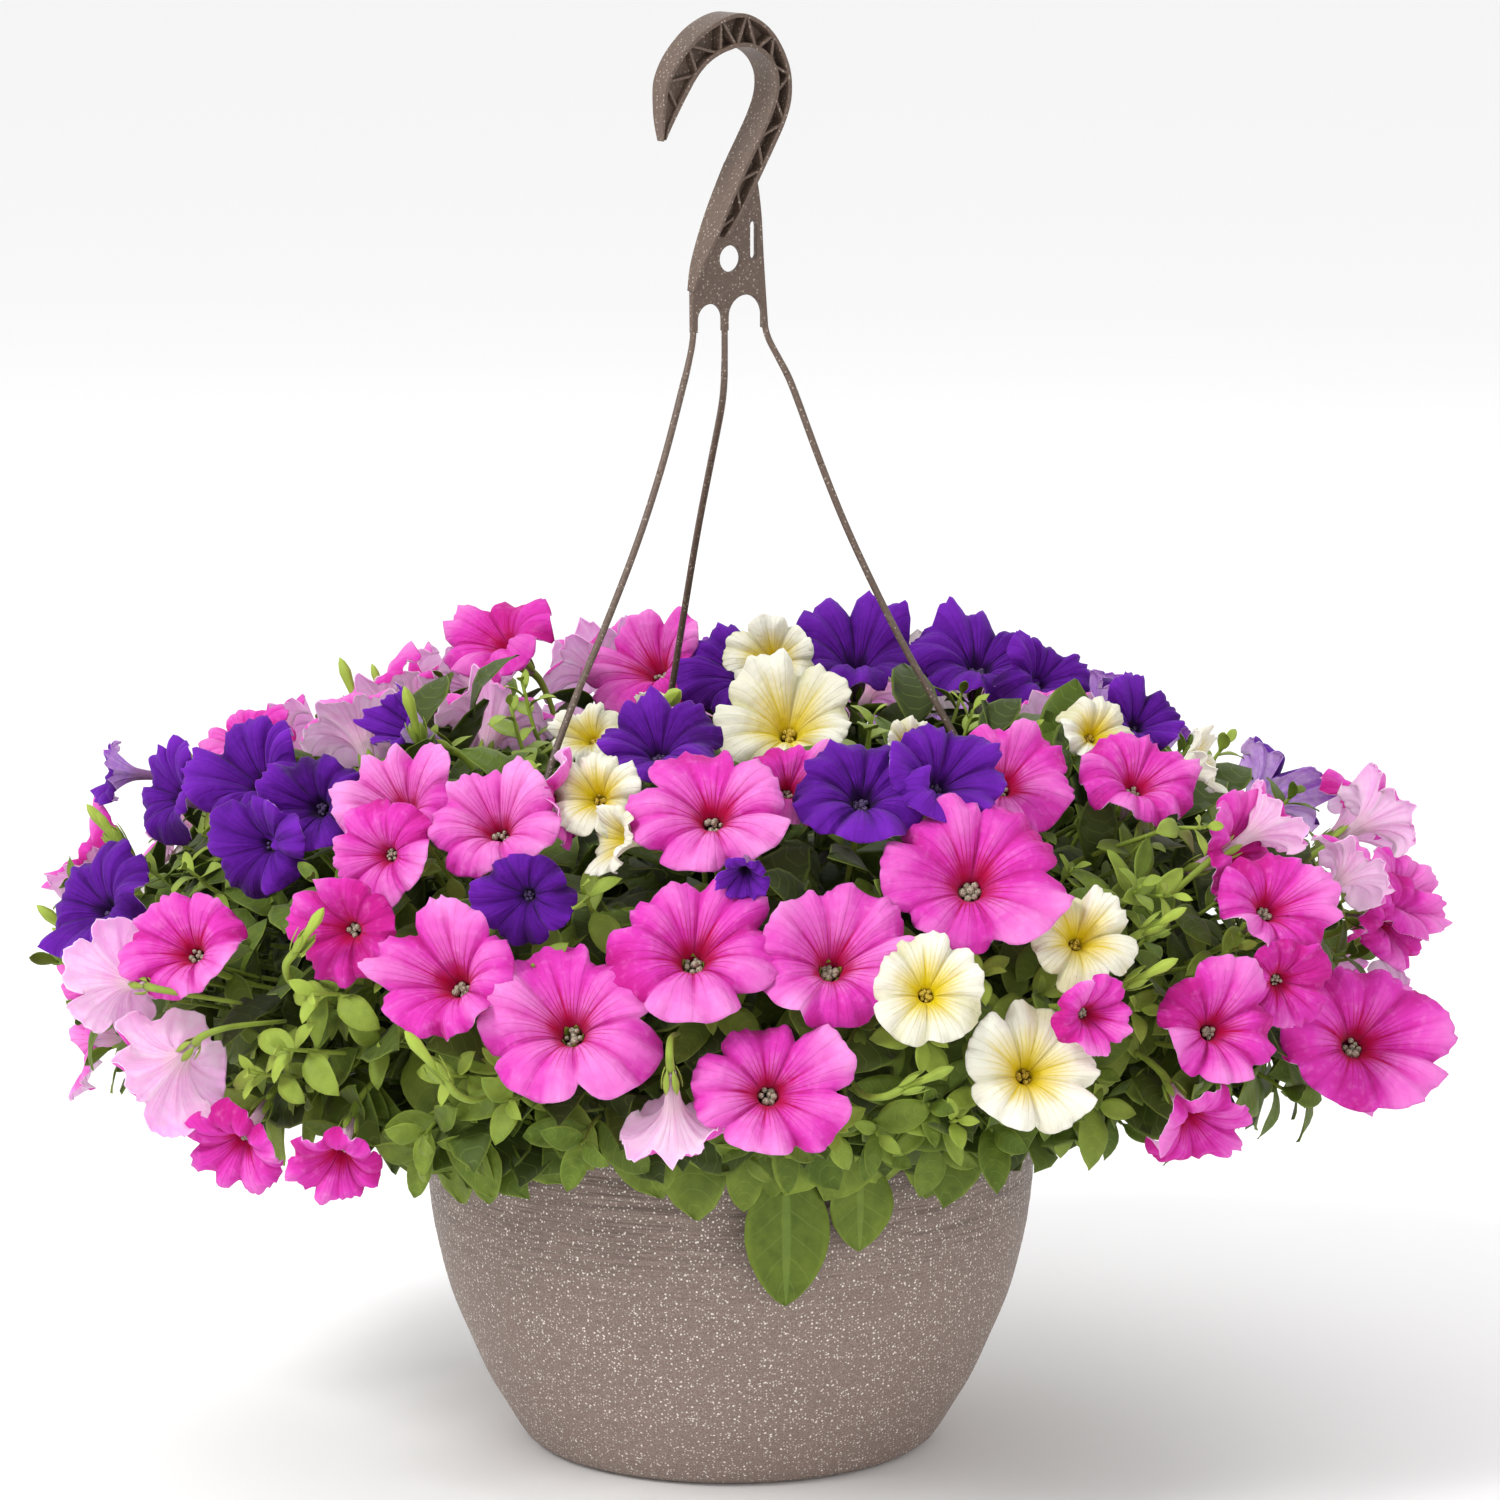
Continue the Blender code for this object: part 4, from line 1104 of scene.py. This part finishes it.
def blade_rings(length, width, droop, fold, wave, rows=9, across=6):
    """One leaf from its stalk along +X, upper face +Z, closed round its thin section."""
    u = np.linspace(0, 1, rows)
    breadth = np.interp(u, *LEAF_OUTLINE)
    bend = -droop * u
    step = length / (rows - 1)
    x = np.concatenate([[0], np.cumsum(np.cos(bend[:-1]) * step)])
    rise = np.concatenate([[0], np.cumsum(np.sin(bend[:-1]) * step)])
    c = np.linspace(-1, 1, across)
    y = 0.5 * width * breadth[:, None] * c
    up = np.abs(y) * math.tan(fold) * (1 - 0.35 * np.abs(c))
    up = up + wave * np.sin(u * 9 + 2)[:, None] * c * np.abs(c)
    z = rise[:, None] + up
    top = np.stack([np.broadcast_to(x[:, None], y.shape), y, z], -1)
    thick = LEAF_EDGE + LEAF_RIB * (1 - np.abs(c)) ** 2 * (1 - u[:, None] * 0.7)
    under = top - np.stack([0 * thick, 0 * thick, thick], -1)
    rings = np.concatenate([top, under[:, ::-1]], axis=1)
    look = np.zeros(rings.shape)
    look[..., 0] = np.concatenate([np.abs(c), np.abs(c[::-1])])
    look[..., 1] = u[:, None]
    return rings, look


def with_paleness(look, pale):
    """The look with a petal's or a leaf's own paleness added."""
    look = look.copy()
    look[..., 2] += pale
    return look


def mound(azimuth, latitude, scale=1.0):
    """A point of the mound's skin, and the way out from it."""
    wide, deep, rise, drop, level = MOUND
    lat, az = math.radians(latitude), math.radians(azimuth)
    flat = max(0.0, math.cos(lat)) ** MOUND_CURVE
    up = math.copysign(abs(math.sin(lat)) ** MOUND_CURVE, lat)
    z = level + up * (rise if up > 0 else drop)
    point = np.array((wide * math.cos(az) * flat * scale, deep * math.sin(az) * flat * scale, z))
    point[2] = level + (z - level) * scale
    out = np.array((math.cos(az) * flat, math.sin(az) * flat, up + 0.12))
    return point, unit(out)


def plant_of(point):
    """Which of the six plants a point belongs to, 1 to 6."""
    azimuth = math.degrees(math.atan2(point[1], point[0]))
    return int(((azimuth - STRANDS["front_left"]) % 360) // 60) + 1


class Room:
    """Where blooms and strands are, so that leaves stay out of them."""

    def __init__(self):
        self.centres, self.ways, self.radii = [], [], []
        self.lines = np.concatenate([strand_line(key)[::3] for key in KEYS]) * MM

    def take(self, centre, way, radius):
        """Keep leaves off a bloom."""
        self.centres.append(centre)
        self.ways.append(way)
        self.radii.append(radius)

    def free(self, points):
        """True if none of the points is in or just in front of a bloom, a strand or the bowl."""
        gap = points[:, None] - np.array(self.centres)
        ahead = np.einsum("ijk,jk->ij", gap, np.array(self.ways))
        off = np.linalg.norm(gap - ahead[..., None] * np.array(self.ways), axis=2)
        radii = np.array(self.radii)
        share = off / radii
        floor = -radii * (0.16 + 0.85 * np.clip(1 - share, 0, 1)) - 0.003
        if np.any((share < 0.96) & (ahead > floor) & (ahead < AHEAD_OF_PETALS)):
            return False
        near = np.linalg.norm(points[:, None] - self.lines, axis=2)
        if near.min() < ROUND_STRANDS:
            return False
        ring = np.hypot(points[:, 0], points[:, 1])
        return not np.any((points[:, 2] < BOWL_RIM) & (ring < BOWL_RADIUS))


class Garden:
    """The growing plants: skins gathered by piece, and the room that is taken."""

    def __init__(self, seed):
        self.rng = random.Random(seed)
        self.room = Room()
        self.foliage = {number: Skins() for number in range(1, 7)}

    def leaf(self, skins, base, way, up, length, width, pale, fine=True):
        """One blade, unless something is in its way."""
        rng = self.rng
        rows, across = (9, 6) if fine else (6, 4)
        rings, look = blade_rings(
            length, width, rng.uniform(0.3, 1.1), rng.uniform(0.15, 0.5), width * 0.05, rows, across
        )
        placed = rings @ axes(way, up).T + base
        if self.room.free(placed[1::2, ::2].reshape(-1, 3)):
            skins.add(placed, with_paleness(look, pale))

    def stem(self, skins, path, thick, thin, pale, slot=0):
        """A tapering stem along a path."""
        line = curve(path, 4 * len(path))
        radii = np.linspace(thick, thin, len(line))
        skins.add(tube_rings(line, radii, 7), (0.6, 0.5, pale), slot, small=True)

    def shoot(self, skins, tip, out, size, pale, count):
        """A stem from the soil to its tip with leaves set in a spiral, smallest at the tip."""
        rng = self.rng
        azimuth = math.degrees(math.atan2(tip[1], tip[0]))
        spread = math.hypot(tip[0], tip[1])
        root = polar(min(0.09, spread * 0.5), azimuth + rng.uniform(-14, 14), 0.164)
        over = polar(max(min(spread * 0.72, 0.16), math.hypot(root[0], root[1])), azimuth, 0)
        over[2] = max(0.2, tip[2] * 0.86)
        path = [root, over, tip - out * 0.03, tip]
        line = curve(path, 40)
        end = len(line) - 1
        if not self.room.free(line[12:]):
            return
        self.stem(skins, path, 0.0016, 0.0008, 0.3 + pale * 0.4)
        for k in range(count):
            place = int((1 - (k / count) ** 1.15 * 0.42) * end)
            spot = line[place]
            along = unit(line[min(end, place + 1)] - line[place - 1])
            frame_axes = axes(along, (0.2, 0.1, 1.0))
            turn = k * LEAF_TURN + rng.uniform(-0.3, 0.3)
            spoke = frame_axes[:, 1] * math.cos(turn) + frame_axes[:, 2] * math.sin(turn)
            open_angle = math.radians(24 + 56 * min(1, k / 5) + rng.uniform(-8, 8))
            way = along * math.cos(open_angle) + spoke * math.sin(open_angle)
            up = along * math.sin(open_angle) - spoke * math.cos(open_angle) + (0, 0, 0.35)
            length = size * (0.42 + 0.58 * min(1, k / 5)) * rng.uniform(0.85, 1.15)
            shade = pale * (1 - 0.09 * k) + rng.uniform(-0.12, 0.12)
            self.leaf(skins, spot, way, up, length, length * rng.uniform(0.36, 0.56), max(0, shade))


def calyx(garden, skins, frame_axes, base, pale, slot=GREEN):
    """Five sepals round the foot of the tube, and the stalk back into the plant."""
    rng = garden.rng
    across, side, ahead = frame_axes[:, 0], frame_axes[:, 1], frame_axes[:, 2]
    for k in range(5):
        turn = k * 2 * math.pi / 5 + rng.uniform(-0.2, 0.2)
        spoke = across * math.cos(turn) + side * math.sin(turn)
        rings, look = blade_rings(*SEPAL)
        way = ahead * 0.93 + spoke * 0.37
        placed = rings @ axes(way, -spoke).T + base + spoke * 0.0022
        skins.add(placed, with_paleness(look, 0.45 + pale * 0.2), slot, small=True)
    sink = unit(np.array((base[0] * 0.72, base[1] * 0.72, 0.225)) - base)
    path = [base + ahead * along + sink * inwards for along, inwards in STALK]
    garden.stem(skins, path, 0.0021, 0.0009, 0.55, slot)


def stamens(garden, skins, frame_axes, mouth, radius):
    """Anthers and stigma crowding the mouth of the tube."""
    rng = garden.rng
    for k in range(8):
        turn = k * 2 * math.pi / 6 + rng.uniform(-0.3, 0.3)
        off = (0.02 if k > 5 else rng.uniform(0.066, 0.10)) * radius
        spot = mouth + frame_axes @ np.array(
            (off * math.cos(turn), off * math.sin(turn), radius * rng.uniform(-0.05, 0.05))
        )
        size = rng.uniform(0.7, 1.25) * 0.047 * radius
        heights = np.array((-1, -0.7, 0, 0.7, 1.0))
        line = spot + np.outer(heights * size * 1.2, frame_axes[:, 2])
        widths = size * np.sqrt(np.clip(1.02 - heights**2, 0.02, 1))
        skins.add(tube_rings(line, widths, 7), (0.5, 0.5, 0.5), STAMEN, small=True)


def add_bloom(garden, skins, throat, diameter, turn, tilt, pale, openness, thickness):
    """One open bloom with its calyx, stalk and stamens; millimetres and degrees."""
    rng = garden.rng
    radius = diameter / 2 * MM
    way = facing(turn, tilt)
    centre = np.array(throat) * MM - way * radius * 0.14
    tube = rng.uniform(0.030, 0.036) if openness > 0.5 else 0.028
    base_axes = axes(way, (0, 0, 1))
    spin = rng.uniform(-0.5, 0.5)
    across = base_axes[:, 1] * math.cos(spin) + base_axes[:, 2] * math.sin(spin)
    frame_axes = np.stack([across, np.cross(way, across), way], axis=1)
    rings, look, deep = bloom_rings(rng, radius, tube, openness, thickness)
    slots = [FACE] * (len(COROLLA) - 1) + [BACK] * len(COROLLA)
    look = with_paleness(look, pale + rng.uniform(-0.1, 0.1))
    skins.add(rings @ frame_axes.T + centre, look, slots)
    calyx(garden, skins, frame_axes, centre - way * tube, pale)
    if openness > 0.6:
        stamens(garden, skins, frame_axes, centre - way * radius * deep * 0.43, radius)


def bud(garden, skins, foot, tip):
    """A furled bud: a ribbed spindle between its sepals, on a stalk."""
    way, length = unit(tip - foot), float(np.linalg.norm(tip - foot))
    heights = np.linspace(0, 1, 13)
    widths = np.interp(heights, *BUD_OUTLINE)
    rings = tube_rings(foot + np.outer(heights * length, way), widths * length, 20)
    middle = rings.mean(axis=1, keepdims=True)
    ribs = 1 - 0.16 * (np.arange(20) % 4 == 0)
    rings = middle + (rings - middle) * ribs[None, :, None]
    skins.add(rings, (0.5, 0.5, 1.0), small=True)
    calyx(garden, skins, axes(way, (0.1, 0.2, 1.0))[:, (1, 2, 0)], foot, 0.8, 0)


def unseen_blooms(garden, taken):
    """Blooms for the sides and back, spread evenly between those already placed."""
    rng = garden.rng
    found = []
    for _ in range(UNSEEN_TRIES):
        if len(found) == UNSEEN_BLOOMS:
            break
        azimuth, latitude = rng.uniform(-38, 218), rng.uniform(-24, 64)
        point, out = mound(azimuth, latitude, 0.98)
        diameter = rng.uniform(46, 66)
        if point[1] < 20 + 0.25 * abs(point[0]) and latitude > -5 or point[1] < -60:
            continue
        if any(np.linalg.norm(point - np.array(c)) < 0.43 * (diameter + d) for c, d in taken):
            continue
        patch = noise.noise(Vector(point * 0.011) + Vector((3.1, 0.7, 5.2)))
        kind = "purple" if patch > 0.16 else "cream" if patch < -0.24 else "pink"
        turn = math.degrees(math.atan2(out[0], -out[1])) + rng.uniform(-22, 22)
        tilt = math.degrees(math.asin(out[2])) * 0.75 + rng.uniform(-14, 14)
        taken.append((tuple(point), diameter))
        found.append((kind, tuple(point), diameter, turn, tilt, rng.uniform(0.1, 0.9), 1))
    return found


# --- operators ------------------------------------------------------------
FINISHES = {}


def finishes(scene):
    """Every finish, made once from the settings."""
    if not FINISHES:
        blooms = scene.basket_blooms
        FINISHES["resin"] = resin_finish(scene.basket_bowl)
        FINISHES["hanger"] = hanger_finish(scene.basket_hanger)
        FINISHES["soil"] = soil_finish(scene.basket_plants)
        FINISHES["leaf"] = leaf_finish(scene.basket_plants)
        for kind in KINDS:
            FINISHES[kind + "_stamen"] = stamen_finish(kind, *STAMENS[kind])
            FINISHES[kind + "_back"] = petal_back_finish(kind, *UNDERSIDES[kind])
        # each takes face, painted shade for valleys, seams and midrib, painted light for ridges and
        # mottling, veins, throat, halo
        FINISHES["pink"] = petal_finish(
            "pink", blooms.pink, tint(172, 12, 116), tint(226, 142, 204),
            tint(174, 0, 64), tint(104, 30, 58), 0.52,
        )
        FINISHES["purple"] = petal_finish(
            "purple", blooms.purple, tint(46, 2, 76), tint(112, 34, 172),
            tint(34, 2, 58), tint(40, 12, 50), 0.42,
        )
        FINISHES["cream"] = petal_finish(
            "cream", tint(216, 212, 194), tint(198, 194, 152), blooms.cream,
            tint(212, 188, 0), tint(140, 128, 10), 0.84,
        )
    return FINISHES


GARDENS = []


def garden_of(scene):
    """The one garden that the plant operators share."""
    if not GARDENS:
        GARDENS.append(Garden(scene.basket_plants.seed))
    return GARDENS[0]


def settle(obj, body, slot, *nodes):
    """Ride a piece on its body and hide the CAD nodes it stands for; its slot is not used."""
    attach(obj, body)
    if nodes:
        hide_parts(*nodes)


class BASKET_OT_bowl(bpy.types.Operator):
    """Turn the resin bowl, with its lip, drains and hanger slots"""

    bl_idname = "basket.bowl"
    bl_label = "Bowl"

    def execute(self, context):
        finish = finishes(context.scene)["resin"]
        shell = cut(turned_bowl(context.scene.basket_bowl, finish), bowl_cutters(finish))
        shell.name = "turned_bowl"
        settle(shell, BASKET, "bowl_resin", "pot_shell")
        return {"FINISHED"}


class BASKET_OT_mix(bpy.types.Operator):
    """Fill the bowl with potting mix"""

    bl_idname = "basket.mix"
    bl_label = "Potting mix"

    def execute(self, context):
        settle(mix_bed(finishes(context.scene)["soil"]), BASKET, "potting_mix", "potting_mix")
        return {"FINISHED"}


class BASKET_OT_hook(bpy.types.Operator):
    """Mould the hook with its ribs, and the yoke plate under it"""

    bl_idname = "basket.hook"
    bl_label = "Hook and yoke"

    def execute(self, context):
        finish = finishes(context.scene)["hanger"]
        settle(soften(hook_beam(finish), 0.35), HOOK, "hanger_plastic", "hanger_hook")
        settle(yoke(finish), HOOK, "hanger_plastic", "yoke_plate")
        return {"FINISHED"}


class BASKET_OT_strands(bpy.types.Operator):
    """Mould the three strands, each in three stretches, and finish their snap ends"""

    bl_idname = "basket.strands"
    bl_label = "Strands"

    def execute(self, context):
        finish = finishes(context.scene)["hanger"]
        radius = context.scene.basket_hanger.strand
        low, mid, high, top = FLEX
        stretches = [
            ("strand_rod", "strand", mid, CLIP_TOP + 0.4, BASKET, LOWER, low, mid),
            ("strand_neck", "lower_root", high, mid, LOWER, UPPER, mid, high),
            ("strand_root", "upper_root", top, high, UPPER, HOOK, high, top - 12),
        ]
        for key in KEYS:
            for name, node, upper_end, foot, below, above, start, end in stretches:
                rod = strand_stretch(f"{name}_{key}", key, upper_end, foot, radius, finish)
                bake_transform(rod)
                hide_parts(f"{node}_{key}")
            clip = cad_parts[f"rim_clip_{key}"]
            clip.data.materials.clear()
            clip.data.materials.append(finish)
            soften(clip, 0.4)
        return {"FINISHED"}


class BASKET_OT_blooms(bpy.types.Operator):
    """Open the blooms: one piece for each CAD bloom, the others gathered by plant and colour"""

    bl_idname = "basket.blooms"
    bl_label = "Blooms"

    def execute(self, context):
        looks = finishes(context.scene)
        garden = garden_of(context.scene)
        thickness = context.scene.basket_blooms.thickness
        sets = {
            kind: [looks[kind], looks[kind + "_back"], looks["leaf"], looks[kind + "_stamen"]]
            for kind in KINDS
        }
        taken = [(throat, size) for _, throat, size, *_ in BLOOMS + MORE_BLOOMS]
        more = MORE_BLOOMS + unseen_blooms(garden, taken)
        for _, throat, diameter, turn, tilt, *_ in BLOOMS + more:
            garden.room.take(np.array(throat) * MM, facing(turn, tilt), diameter / 2 * MM)
        for node, throat, diameter, turn, tilt, pale in BLOOMS:
            kind = node.split("_")[0]
            skins = Skins()
            add_bloom(garden, skins, throat, diameter, turn, tilt, pale, 1, thickness)
            piece = skins.build(node.replace("bloom", "petunia"), sets[kind])
            settle(piece, BASKET, kind + "_petals", node)
        groups = {}
        for kind, throat, diameter, turn, tilt, pale, openness in more:
            skins = groups.setdefault((kind, plant_of(throat)), Skins())
            add_bloom(garden, skins, throat, diameter, turn, tilt, pale, openness, thickness)
        for (kind, number), skins in sorted(groups.items()):
            piece = skins.build(f"{kind}_petunias_on_plant_{number}", sets[kind])
            settle(piece, BASKET, kind + "_petals")
        return {"FINISHED"}


class BASKET_OT_foliage(bpy.types.Operator):
    """Grow the six plants' shoots, leaves and buds"""

    bl_idname = "basket.foliage"
    bl_label = "Foliage"

    def execute(self, context):
        settings = context.scene.basket_plants
        leaf = finishes(context.scene)["leaf"]
        garden = garden_of(context.scene)
        rng = garden.rng
        for tip in YOUNG_SHOOTS:
            out = unit(np.array((tip[0], tip[1], 60.0)))
            skins = garden.foliage[plant_of(tip)]
            garden.shoot(skins, np.array(tip) * MM, out, 0.024, 0.95, 9)
        for k in range(settings.shoots):
            level = -0.55 + 1.53 * (k + 0.5) / settings.shoots
            azimuth = k * SHOOT_TURN + rng.uniform(-6, 6)
            point, out = mound(azimuth, math.degrees(math.asin(level)), rng.uniform(0.86, 0.97))
            skins = garden.foliage[plant_of(point)]
            high = level > 0.1
            pale = rng.uniform(0.0, 1.1 if high else 0.8) ** 2
            low, top = (20, 29) if high else (28, 38) if level > -0.2 else (36, 47)
            garden.shoot(skins, point * MM, out, rng.uniform(low, top) * MM, pale, 9 if high else 7)
        self.fill(garden, rng)
        self.skirt(garden, rng)
        for foot, tip in BUDS:
            bud(garden, garden.foliage[plant_of(foot)], np.array(foot) * MM, np.array(tip) * MM)
        for _ in range(UNSEEN_BUDS):
            point, out = mound(rng.uniform(-40, 220), rng.uniform(-5, 60), 0.93)
            point, way = point * MM, unit(out + (0, 0, 0.6))
            tip = point + way * rng.uniform(0.020, 0.032)
            if garden.room.free(np.array([point, tip])):
                bud(garden, garden.foliage[plant_of(point)], point, tip)
        for number, skins in garden.foliage.items():
            piece = skins.build(f"foliage_{number}", [leaf])
            settle(piece, BASKET, "foliage", f"plant_{number}")
        return {"FINISHED"}

    def fill(self, garden, rng):
        """Dark leaves inside the mound, painted as if in shadow, which close its depth."""
        spots = []
        for k in range(INNER_LEAVES):
            level = -0.5 + 1.45 * (k + 0.5) / INNER_LEAVES
            scale = rng.uniform(0.09, 0.74) ** 0.5
            spots.append(mound(k * SHOOT_TURN, math.degrees(math.asin(level)), scale))
        for azimuth in (k * SHOOT_TURN for k in range(COLLAR_LEAVES)):
            point = polar(rng.uniform(110, 205), azimuth, rng.uniform(184, 240))
            spots.append((point, polar(1, azimuth)))
        for point, out in spots:
            way = unit(out + np.array([rng.uniform(-1.2, 1.2) for _ in range(3)]))
            up = out + (0, 0, 0.6)
            size = rng.uniform(0.028, 0.042)
            # painted shade: a paleness under 0 paints these leaves dark
            skins, pale = garden.foliage[plant_of(point)], rng.uniform(-0.6, 0)
            garden.leaf(skins, point * MM, way, up, size, size * 0.6, pale, fine=False)

    def skirt(self, garden, rng):
        """Large leaves that hang over the lip."""
        for k in range(2 * SKIRT_ROUND):
            azimuth = k * 360 / SKIRT_ROUND + rng.uniform(-3, 3)
            low = 178 - 7 * (k % 2) + rng.uniform(-6, 8)
            base = polar(rng.uniform(148, 156), azimuth, low + 14)
            out = polar(1, azimuth + rng.uniform(-16, 16))
            way = out * rng.uniform(0.12, 0.6) + polar(rng.uniform(-0.5, 0.5), azimuth + 90)
            way, up = unit(way + (0, 0, -1)), out + (0, 0, 0.35)
            size = rng.uniform(0.034, 0.050)
            width, pale = size * rng.uniform(0.6, 0.74), rng.uniform(-0.1, 0.5)
            garden.leaf(garden.foliage[plant_of(base)], base * MM, way, up, size, width, pale)


class BASKET_OT_trailing_leaves(bpy.types.Operator):
    """Hang the two largest leaves over the lip"""

    bl_idname = "basket.trailing_leaves"
    bl_label = "Trailing leaves"

    def execute(self, context):
        leaf = finishes(context.scene)["leaf"]
        garden = garden_of(context.scene)
        for number, azimuth, top, length, width, pale in HANGING_LEAVES:
            skins = Skins()
            rings, look = blade_rings(length * MM, width * MM, 0.16, 0.22, 0.0012, 22, 12)
            out = polar(1, azimuth)
            placed = rings @ axes(polar(0.10, azimuth, -1.0), out).T + polar(148, azimuth, top) * MM
            skins.add(placed, with_paleness(look, pale))
            stalk = [(141, 14), (146, 10), (148, -2)]
            path = [polar(reach, azimuth, top + rise) * MM for reach, rise in stalk]
            garden.stem(skins, path, 0.0016, 0.0014, 0.5)
            piece = skins.build(f"hanging_leaf_{number}", [leaf])
            settle(piece, BASKET, "foliage", f"trailing_leaf_{number}")
        return {"FINISHED"}


class BASKET_OT_stage(bpy.types.Operator):
    """Set the pale floor, the soft studio light and the camera"""

    bl_idname = "basket.stage"
    bl_label = "Stage"

    def execute(self, context):
        scene = context.scene
        settings = scene.basket_stage
        corners = [(-1, -1), (1, -1), (1, 1), (-1, 1)]
        verts = [(x * FLOOR_REACH, y * FLOOR_REACH, FLOOR_LEVEL) for x, y in corners]
        floor = plain_mesh("floor", verts, [(0, 1, 2, 3)], floor_finish(settings))
        floor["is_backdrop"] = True
        world = bpy.data.worlds.new("studio")
        world.use_nodes = True
        sky = world.node_tree.nodes["Background"].inputs
        sky["Color"].default_value = (1, 1, 1, 1)
        sky["Strength"].default_value = SKY * settings.light
        scene.world = world
        for name, place, side, watts in LIGHTS:
            light = bpy.data.lights.new(name, "AREA")
            light.size = side
            light.energy = watts * settings.light
            lamp = add_object(name, light)
            lamp.location = place
            way = Vector(LIT_POINT) - lamp.location
            lamp.rotation_euler = way.to_track_quat("-Z", "Y").to_euler()
        camera = bpy.data.cameras.new("camera")
        camera.lens = LENS
        camera.sensor_width = SENSOR
        camera.clip_end = 200
        view = add_object("camera", camera)
        view.location = CAMERA_PLACE
        view.rotation_euler = (math.radians(90 - CAMERA_DIP), 0, 0)
        scene.camera = view
        scene.view_settings.view_transform = "Standard"
        return {"FINISHED"}


class BASKET_PT_panel(bpy.types.Panel):
    """Steps and settings of the hanging basket"""

    bl_label = "Hanging Basket"
    bl_idname = "BASKET_PT_panel"
    bl_space_type = "VIEW_3D"
    bl_region_type = "UI"
    bl_category = "Basket"

    def draw(self, context):
        for step in STEPS:
            self.layout.operator(step.bl_idname)
        for name, group in SETTINGS.items():
            box = self.layout.box()
            for field in group.__annotations__:
                box.prop(getattr(context.scene, name), field)


SETTINGS = {
    "basket_bowl": BowlSettings,
    "basket_hanger": HangerSettings,
    "basket_plants": PlantSettings,
    "basket_blooms": BloomSettings,
    "basket_stage": StageSettings,
}
STEPS = (
    BASKET_OT_stage, BASKET_OT_bowl, BASKET_OT_mix, BASKET_OT_hook, BASKET_OT_strands,
    BASKET_OT_blooms, BASKET_OT_foliage, BASKET_OT_trailing_leaves,
)


def register():
    for group in SETTINGS.values():
        bpy.utils.register_class(group)
    for step in STEPS:
        bpy.utils.register_class(step)
    bpy.utils.register_class(BASKET_PT_panel)
    for name, group in SETTINGS.items():
        setattr(bpy.types.Scene, name, bpy.props.PointerProperty(type=group))


def unregister():
    for name in SETTINGS:
        delattr(bpy.types.Scene, name)
    bpy.utils.unregister_class(BASKET_PT_panel)
    for item in (*reversed(STEPS), *SETTINGS.values()):
        bpy.utils.unregister_class(item)


def main():
    register()
    bpy.ops.basket.stage()
    bpy.ops.basket.bowl()
    bpy.ops.basket.mix()
    bpy.ops.basket.hook()
    bpy.ops.basket.strands()
    bpy.ops.basket.blooms()
    bpy.ops.basket.foliage()
    bpy.ops.basket.trailing_leaves()
    boxes = {"cad": CAD_BOX, "visual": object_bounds()}
    {name: [list(corner) for corner in box] for name, box in boxes.items()}


if __name__ == "__main__":
    main()
